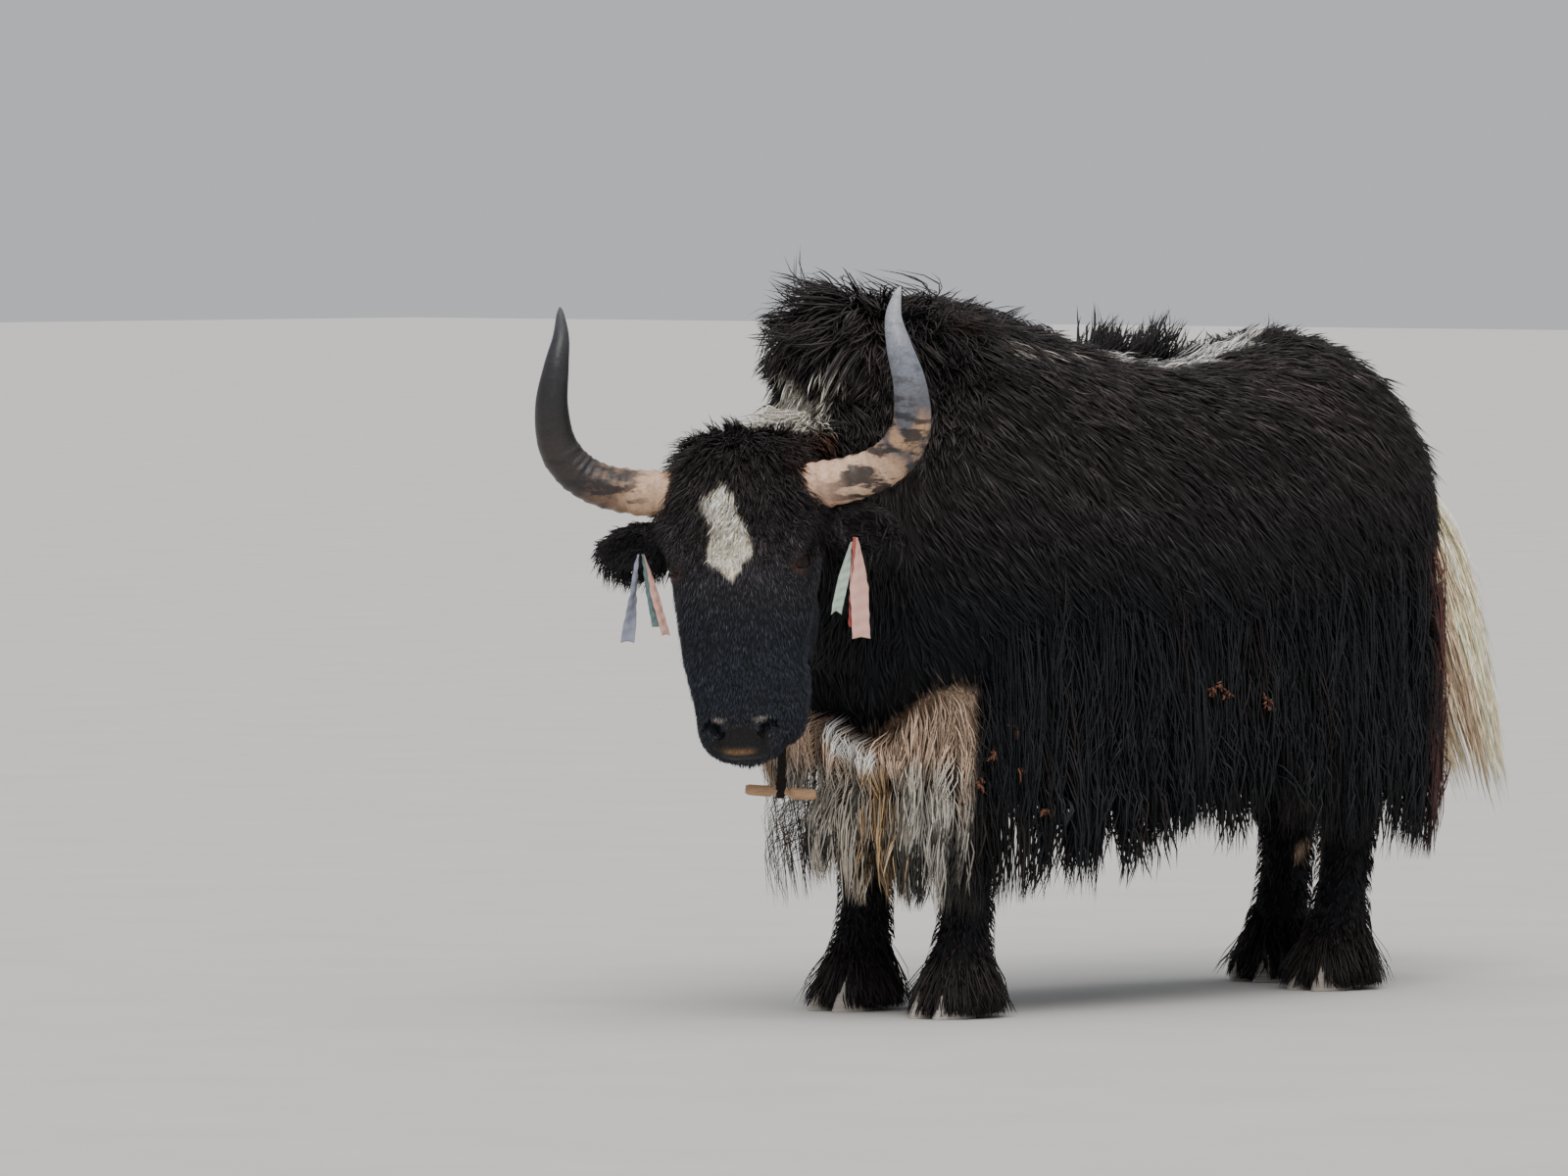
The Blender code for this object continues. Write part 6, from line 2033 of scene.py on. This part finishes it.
@dataclass
class TailHair(Coat):
    """The tail's long hair, gathered towards its tip."""

    slot: ClassVar[str] = "white_coat"
    count: int = 3000
    segments: int = 6
    locks: int = 26

    def build(self) -> None:
        """Grows the tail's hair."""
        chance = np.random.default_rng(707)
        rows = rows_through([row[:3] for row in TAIL], 60)
        level = chance.uniform(0.14, 1.0, self.count)
        spot = rows[(level * 59).astype(int)]
        turn = chance.uniform(0, 2 * math.pi, self.count)
        place = (turn / (2 * math.pi) * self.locks).astype(int)
        draw = chance.uniform(-1, 1, (self.locks * 5, 5))[place + self.locks * (level * 4).astype(int)]
        own = chance.uniform(-1, 1, (self.count, 4))
        gathered = (place + 0.5) / self.locks * 2 * math.pi + 0.2 * draw[:, 0]
        length = 0.36 + 0.1 * own[:, 0] + 0.05 * draw[:, 1]
        end_z = np.maximum(spot[:, 2] - length, TAIL_TIP.z + 0.19 * np.abs(own[:, 1]) ** 0.8 + 0.03 * draw[:, 4])
        share = (1.0 - end_z) / (1.0 - TAIL_TIP.z)
        axis = np.array([0.86, -0.03]) + (np.array([TAIL_TIP.x, TAIL_TIP.y]) - (0.86, -0.03)) * share[:, None]
        spread = (0.112 - 0.082 * share) * (0.8 + 0.25 * own[:, 2])
        paths = []
        for k in range(self.segments + 1):
            t = k / self.segments
            wave = 0.05 * np.sin(2 * math.pi * length * t / SHORT_WAVE + 3 * draw[:, 2]) * t
            angle = turn + (gathered - turn) * min(1.0, 1.2 * t) * 0.8 + wave
            around = np.column_stack([np.cos(angle), np.sin(angle)])
            reach = 0.02 + (0.042 + 0.01 * draw[:, 3]) * math.sin(math.pi * min(t, 0.7)) + (spread - 0.02) * t
            reach = reach * (1 - 0.2 * t * t) + 0.004 * own[:, 3] * t
            middle = spot[:, :2] + (axis - spot[:, :2]) * t
            z = spot[:, 2] + (end_z - spot[:, 2]) * t
            paths.append(np.column_stack([middle + around * reach[:, None], z]))
        paths = np.stack(paths, axis=1)
        across = np.column_stack([-np.sin(turn), np.cos(turn), np.zeros(self.count)])
        tone = np.exp(0.16 * chance.normal(size=(self.count, 1)))
        rust = ramp(np.cos(turn - 3.6), 0.55, 0.95)[:, None] * chance.uniform(0.2, 1, (self.count, 1))
        cream = np.array(self.markings.tail_cream) * tone
        root = cream + (np.array([0.2, 0.08, 0.045]) - cream) * 0.8 * rust
        tip = cream + (np.array([0.36, 0.2, 0.12]) - cream) * 0.7 * rust
        tones = np.stack([root * 0.97, tip], axis=1)
        strands = Strands(paths, across, 0.0046 * (1 + 0.3 * draw[:, 1]), tones, self.bed.map_at(paths[:, 0]))
        self.show(strands, "tail_hair", 0.4, 0.6)


@dataclass
class Horns:
    """The two horns: out level from the poll, then up, their tips leaning back."""

    sides: int = 40
    rings: int = 110
    line: Rows = (
        (0.095, -0.005, -0.008, 0.044),
        (0.15, 0.0, 0.0, 0.044),
        (0.205, 0.004, 0.008, 0.042),
        (0.262, 0.01, 0.024, 0.04),
        (0.308, 0.018, 0.056, 0.039),
        (0.335, 0.03, 0.105, 0.036),
        (0.338, 0.045, 0.175, 0.031),
        (0.324, 0.052, 0.245, 0.024),
        (0.314, 0.04, 0.3, 0.016),
        (0.318, 0.01, 0.342, 0.008),
        (0.322, -0.01, 0.358, 0.002),
    )
    left_stops: Stops = (
        (0.0, (0.5, 0.29, 0.2)), (0.24, (0.46, 0.31, 0.21)), (0.36, (0.3, 0.185, 0.115)), (0.42, (0.065, 0.058, 0.06)),
        (0.48, (0.33, 0.195, 0.105)), (0.54, (0.07, 0.07, 0.08)), (0.74, (0.155, 0.165, 0.19)),
        (0.97, (0.38, 0.375, 0.37)),
    )
    right_stops: Stops = (
        (0.0, (0.48, 0.3, 0.19)), (0.16, (0.4, 0.26, 0.165)), (0.26, (0.14, 0.08, 0.05)), (0.38, (0.026, 0.019, 0.017)),
        (0.62, (0.013, 0.012, 0.013)), (0.8, (0.026, 0.026, 0.03)), (0.97, (0.07, 0.07, 0.075)),
    )

    def growth_rings(self, share: Array) -> Array:
        """The uneven growth rings along a horn, from -1 to 1."""
        return np.sin(share * 150 + 2 * np.sin(share * 17))

    def build(self) -> None:
        """Makes both horns."""
        for side in Side:
            rows = rows_through(self.line, self.rings)
            chance = np.random.default_rng(808 + side.value)
            route = [HEAD_LEVEL @ Vector((-row[1], side.value * row[0], row[2])) for row in rows]
            share = np.linspace(0, 1, self.rings)
            ridges = 0.0011 * self.growth_rings(share) * (1 - ramp(share, 0.3, 0.55))
            radii = rows[:, 3] + ridges + 0.0005 * chance.normal(size=self.rings) * (1 - ramp(share, 0.4, 0.6))
            sizes = [(max(r, 0.0012), max(r, 0.0012) * 0.94) for r in radii]
            word = side.label
            horn = tube(f"{word}_horn", route, sizes, self.sides, up=Vector((0.84, 0.54, 0)), pointed=True)
            along = np.append(np.repeat(share[:-1], self.sides), 1.0)
            paint(horn.data, "Along", along)
            grain = 0.5 + 0.5 * self.growth_rings(along) * (1 - ramp(along, 0.35, 0.6))
            paint(horn.data, "Grain", grain)
            stops = self.left_stops if side is Side.LEFT else self.right_stops
            hand_over(horn, "horn", HornFinish(f"{word}_horn_keratin", stops).material(), f"horn_{word}")


@dataclass
class Eyes:
    """The two eyes in their lids."""

    head: HeadForm

    def build(self) -> None:
        """Makes both eyes with a dark iris and a level pupil."""
        material = EyeFinish().material()
        for side in Side:
            radius = self.head.eye_radius
            place, looks = self.head.eyes[side], self.head.looks[side]
            eye = ball(f"{side.label}_eye", (0, 0, 0), (radius,) * 3, None, 72)
            points = vertex_places(eye.data)
            facing = points @ np.array(looks) / radius
            rise = self.head.upward(side)
            up, wide = points @ np.array(rise) / radius, points @ np.array(rise.cross(looks)) / radius
            off = np.sqrt(up**2 + wide**2)
            iris = (facing > 0) * (1 - ramp(off, 0.68, 0.76))
            pupil = (facing > 0) * (1 - ramp(np.sqrt((up / 0.2) ** 2 + (wide / 0.36) ** 2), 0.85, 1.1))
            colours = np.tile([0.03, 0.016, 0.012], (len(points), 1))
            colours += (np.array([0.012, 0.0065, 0.004]) - colours) * iris[:, None]
            colours += (np.array([0.003, 0.003, 0.004]) - colours) * pupil[:, None]
            bulge = 1 + 0.035 * iris
            place_vertices(eye.data, points * bulge[:, None] + np.array(place))
            eye.data.transform(HEAD_FRAME)
            paint(eye.data, "Coat", colours)
            hand_over(eye, "eye", material, f"eye_{side.label}")


@dataclass
class Hooves:
    """The eight claws of the cloven hooves."""

    length: float = 0.112
    width: float = 0.056
    height: float = 0.075
    toe_ahead: float = 0.06
    slope: float = 0.028
    cleft_half: float = 0.002
    sides: int = 48

    def build(self) -> None:
        """Makes each claw with its flat sole on the floor."""
        material = HoofFinish().material()
        for foot in Foot:
            for inner in (True, False):
                across = foot.value[1] + foot.side * (-1 if inner else 1) * (self.width / 2 + self.cleft_half)
                rings = []
                for share in np.linspace(0, 1, 16):
                    scale = float(np.interp(share, (0, 0.25, 0.62, 1.0), (1.0, 0.97, 0.86, 0.7)))
                    scale *= 1 + 0.006 * math.sin(share * 40)
                    ring = []
                    for angle in circle(self.sides):
                        taper = 1 - 0.3 * max(-math.cos(angle), 0) ** 2
                        reach = math.cos(angle) * self.length / 2 * scale
                        wide = math.sin(angle) * self.width / 2 * scale * taper
                        ahead = foot.value[0] - self.toe_ahead + self.slope * share + reach
                        ring.append(Vector((ahead, across + wide, share * self.height)))
                    rings.append(ring)
                word = "inner" if inner else "outer"
                claw = loft(f"claw_{foot.label}_{word}", rings)
                hand_over(claw, "hoof", material, f"hoof_{foot.label}_{word}")
                claw.data.set_sharp_from_angle(angle=math.radians(50))


class Strip(NamedTuple):
    """A ribbon on an ear: its solid and slot, its ends, its width, its turn, and its twist and notch."""

    name: str
    slot: str
    top: Point
    low: Point
    width: float
    turn: float
    twist: float
    notch: float


@dataclass
class Ribbons:
    """The strips of cloth knotted through the ears."""

    strips: tuple[Strip, ...] = tuple(
        Strip(*row)
        for row in (
            ("ribbon_left_pink", "pink_cloth", (-1.003, -0.248, 0.913), (-0.997, -0.253, 0.727), 0.04, 35, 10, 0.004),
            ("ribbon_left_red", "red_cloth", (-1.009, -0.246, 0.914), (-1.01, -0.24, 0.747), 0.014, 80, 25, 0.0),
            ("ribbon_left_mint", "mint_cloth", (-1.011, -0.242, 0.905), (-1.032, -0.222, 0.774), 0.022, 30, 20, 0.008),
            ("ribbon_right_blue", "blue_cloth", (-1.232, 0.092, 0.88), (-1.243, 0.11, 0.717), 0.026, 30, 40, 0.004),
            ("ribbon_right_teal", "teal_cloth", (-1.224, 0.088, 0.88), (-1.208, 0.07, 0.745), 0.016, 45, 15, 0.0),
            ("ribbon_right_pink", "pink_cloth", (-1.226, 0.084, 0.878), (-1.196, 0.056, 0.73), 0.017, 15, 20, 0.003),
        )
    )
    thickness: float = 0.0009

    def build(self) -> None:
        """Makes each ribbon as a hung sheet."""
        finishes = {
            "pink_cloth": ClothFinish("pink_ribbon", (0.84, 0.42, 0.33), (0.88, 0.58, 0.49)),
            "red_cloth": ClothFinish("red_ribbon", (0.46, 0.045, 0.05), (0.55, 0.12, 0.1)),
            "mint_cloth": ClothFinish("mint_ribbon", (0.44, 0.6, 0.5), (0.58, 0.68, 0.58)),
            "blue_cloth": ClothFinish("blue_ribbon", (0.22, 0.25, 0.36), (0.42, 0.43, 0.5)),
            "teal_cloth": ClothFinish("teal_ribbon", (0.085, 0.17, 0.17), (0.2, 0.3, 0.29)),
        }
        made = {name: finish.material() for name, finish in finishes.items()}
        for index, strip in enumerate(self.strips):
            piece, area = self.strip(strip, np.random.default_rng(909 + index))
            hand_over(piece, strip.slot, made[strip.slot], strip.name)
            length = (Vector(strip.top) - Vector(strip.low)).length
            max(strip.width, 0.0105)

    def strip(self, strip: Strip, chance: Chance) -> tuple[Thing, float]:
        """One ribbon, creased along its fall.

        Args:
            strip: Its sizes.
            chance: The random draw.

        Returns:
            The ribbon, and its flat area.
        """
        top, low = Vector(strip.top), Vector(strip.low)
        rows, columns = 60, 13
        phase = chance.uniform(0, 6.28, 4)
        rings = []
        area = 0.0
        for i in range(rows):
            share = i / (rows - 1)
            wide = float(np.interp(share, (0, 0.12, 0.3, 0.5, 0.75, 1), (0.1, 0.34, 0.68, 0.95, 0.95, 1.0)))
            wide *= strip.width
            area += wide * (top - low).length / rows
            angle = math.radians(strip.turn + strip.twist * math.sin(share * 4 + phase[0]))
            across = Matrix.Rotation(angle, 3, "Z") @ Vector((0.5, -0.85, 0)).normalized()
            out = across.cross(Vector((0, 0, 1)))
            spot = top.lerp(low, share)
            line_front, line_back = [], []
            for j in range(columns):
                s = 2 * j / (columns - 1) - 1
                fold = 0.0022 * math.sin(3.0 * s + 2.5 * share + phase[1]) * (1.2 - share)
                crease = 0.0008 * math.sin(share * 46 + s * 1.5 + phase[2])
                crease += 0.0006 * math.sin(share * 27 - s * 4 + phase[3])
                drop = strip.notch * (abs(s) - 0.5) * ramp(np.array([share]), 0.85, 1.0)[0]
                place = spot + across * (wide / 2 * s) + out * (fold + crease) - Vector((0, 0, drop))
                line_front.append(place + out * (self.thickness / 2))
                line_back.append(place - out * (self.thickness / 2))
            rings.append(line_front + line_back[::-1])
        return loft(strip.name.replace("ribbon", "cloth"), rings), area


@dataclass
class Toggle:
    """The plaited strap under the throat and its whittled bar."""

    top: Vector = field(default_factory=lambda: Vector((-0.932, 0.0, 0.685)))
    middle: Vector = field(default_factory=lambda: Vector((-0.936, 0.006, 0.43)))
    along: Vector = field(default_factory=lambda: Vector((0.655, -0.752, -0.08)).normalized())
    half: float = 0.0665
    strap_half: float = 0.0085

    def bar(self) -> Thing:
        """The bar, waisted where the strap goes round it."""
        shares = np.linspace(-1, 1, 60)
        ends, radii = (-1, -0.9, -0.3, -0.22, 0.22, 0.3, 0.9, 1), (0.0078, 0.0105, 0.0112, 0.0062)
        radii = np.interp(shares, ends, radii + radii[::-1])
        chance = np.random.default_rng(33)
        sides = 28
        across = self.along.cross(Vector((0, 0, 1))).normalized()
        out = across.cross(self.along)
        facets = 1 - 0.05 * chance.random(9)
        rings = []
        for share, radius in zip(shares, radii):
            ring = []
            for angle in circle(sides):
                r = radius * facets[int(angle / (2 * math.pi) * 9)] * (1 + 0.02 * math.sin(9 * share + 3 * angle))
                spot = self.middle + self.along * (self.half * share)
                ring.append(spot + across * (r * math.cos(angle)) + out * (r * math.sin(angle)))
            rings.append(ring)
        bar = loft("whittled_bar", rings)
        paint(bar.data, "Along", np.repeat(shares * 0.35, sides))
        paint(bar.data, "Grain", np.tile(np.sin(np.linspace(0, 2 * math.pi, sides, endpoint=False)) * 0.9, 60))
        return bar

    def strap(self) -> tuple[Thing, list[Vector]]:
        """The strap: three strands plaited into one, thicker round the bar.

        Returns:
            The strap and its middle line.
        """
        runs = np.array([(0.0, 1.0), (0.25, 0.94), (0.5, 1.0), (0.85, 0.96), (0.93, 1.12), (1.0, 1.18), (1.045, 0.9)])
        shares = np.linspace(0, 1.045, 130)
        line = [self.top.lerp(self.middle, float(share)) for share in shares]
        sides = 30
        rings = []
        for share, place in zip(shares, line):
            girth = float(np.interp(share, runs[:, 0], runs[:, 1])) * self.strap_half
            ring = []
            for angle in circle(sides):
                plait = abs(math.sin(1.5 * angle + share * 62)) * 0.2 + abs(math.sin(1.5 * angle - share * 62)) * 0.14
                r = girth * (0.74 + plait)
                ring.append(place + Vector((r * math.cos(angle), r * math.sin(angle), 0)))
            rings.append(ring)
        return loft("plaited_strap", rings), line

    def build(self) -> None:
        bar = self.bar()
        hand_over(bar, "wood", WoodFinish().material(), "toggle_bar")
        strap, line = self.strap()
        hand_over(strap, "strap", StrapFinish().material(), "toggle_strap")


@dataclass
class Studio:
    """The camera, the pale floor and the soft lights."""

    azimuth: float = -48.8
    distance: float = 24.13
    camera_height: float = 1.59
    lens: float = 288.0
    aim_left: float = 336 / 530.5
    aim_down: float = 425 / 530.5
    floor_half: float = 80.0
    sky: Colour = (0.86, 0.89, 0.94)
    sky_strength: float = 0.62

    def camera(self) -> None:
        """Sets up the camera at the photograph's place."""
        angle = math.radians(self.azimuth)
        towards = Vector((math.sin(angle), -math.cos(angle), 0))
        right = Vector((-towards.y, towards.x, 0))
        made = bpy.data.cameras.new("camera")
        made.lens = self.lens
        made.sensor_width = 36.0
        made.clip_end = 500.0
        camera = linked("camera", made)
        camera.location = towards * self.distance + Vector((0, 0, self.camera_height)) + OFFSET
        aim = -right * self.aim_left + Vector((0, 0, self.camera_height - self.aim_down)) + OFFSET
        camera.rotation_euler = (aim - camera.location).to_track_quat("-Z", "Y").to_euler()
        bpy.context.scene.camera = camera

    def sun(self, name: str, place: Point, softness: float, power: float, colour: Colour) -> None:
        """Adds one soft light that falls evenly on the yak and the whole floor.

        Args:
            name: Its name.
            place: The side that it comes from.
            softness: How wide it looks from the yak, in degrees.
            power: Its power in watts a square metre.
            colour: Its colour.
        """
        made = bpy.data.lights.new(name, "SUN")
        made.angle = math.radians(softness)
        made.energy = power
        made.color = colour
        lamp = linked(name, made)
        lamp.location = place
        lamp.rotation_euler = (-Vector(place)).to_track_quat("-Z", "Y").to_euler()

    def build(self) -> None:
        """Lays the floor and hangs the lights."""
        bm = bmesh.new()
        bmesh.ops.create_grid(bm, x_segments=2, y_segments=2, size=self.floor_half)
        floor = new_object("floor", bm)
        floor.location.z = -0.0005
        nodes = Nodes("pale_floor")
        dust = nodes.noise(3.0)
        colour = nodes.steps(dust, ((0.3, (0.6, 0.585, 0.56)), (0.7, (0.64, 0.625, 0.6))))
        nodes.surface(Base_Color=colour, Roughness=0.9)
        floor.data.materials.append(nodes.material)
        floor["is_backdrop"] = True
        world = bpy.data.worlds.new("studio")
        world.use_nodes = True
        light = world.node_tree.nodes["Background"].inputs
        light["Color"].default_value = (*self.sky, 1.0)
        light["Strength"].default_value = self.sky_strength
        bpy.context.scene.world = world
        self.sun("overhead", (-0.5, -1.0, 4.0), 70.0, 1.5, (1.0, 0.98, 0.96))
        self.sun("key", (-4.0, -3.5, 5.0), 35.0, 1.6, (1.0, 0.965, 0.92))


def write_sizes() -> None:
    """Measures the solids' box and the dressed model's box; nothing is written."""
    boxes = [[[float(v) for v in corner] for corner in box] for box in (CAD_BOX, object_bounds())]


def main() -> None:
    """Builds every piece in order."""
    logging.basicConfig(level=logging.INFO, format="%(name)s %(message)s")
    studio = Studio()
    studio.camera()
    Toggle().build()
    skin = Skin()
    skin.build()
    bed = Bed(skin.piece)
    black = (bed, skin.markings, HairFinish("black_hair").material())
    cream = HairFinish("cream_hair", roughness=0.52, sheen=0.12, sheen_tint=(0.9, 0.85, 0.75)).material()
    BodyCoat(*black).build()
    Mane(*black).build()
    HangingHair(*black).build()
    MattedBits(*black).build()
    HeadCoat(*black, skin.head).build()
    LegCoat(*black).build()
    TailHair(bed, skin.markings, cream).build()
    skin.finish()
    Horns().build()
    Eyes(skin.head).build()
    Hooves().build()
    Ribbons().build()
    studio.build()
    write_sizes()


if __name__ == "__main__":
    main()
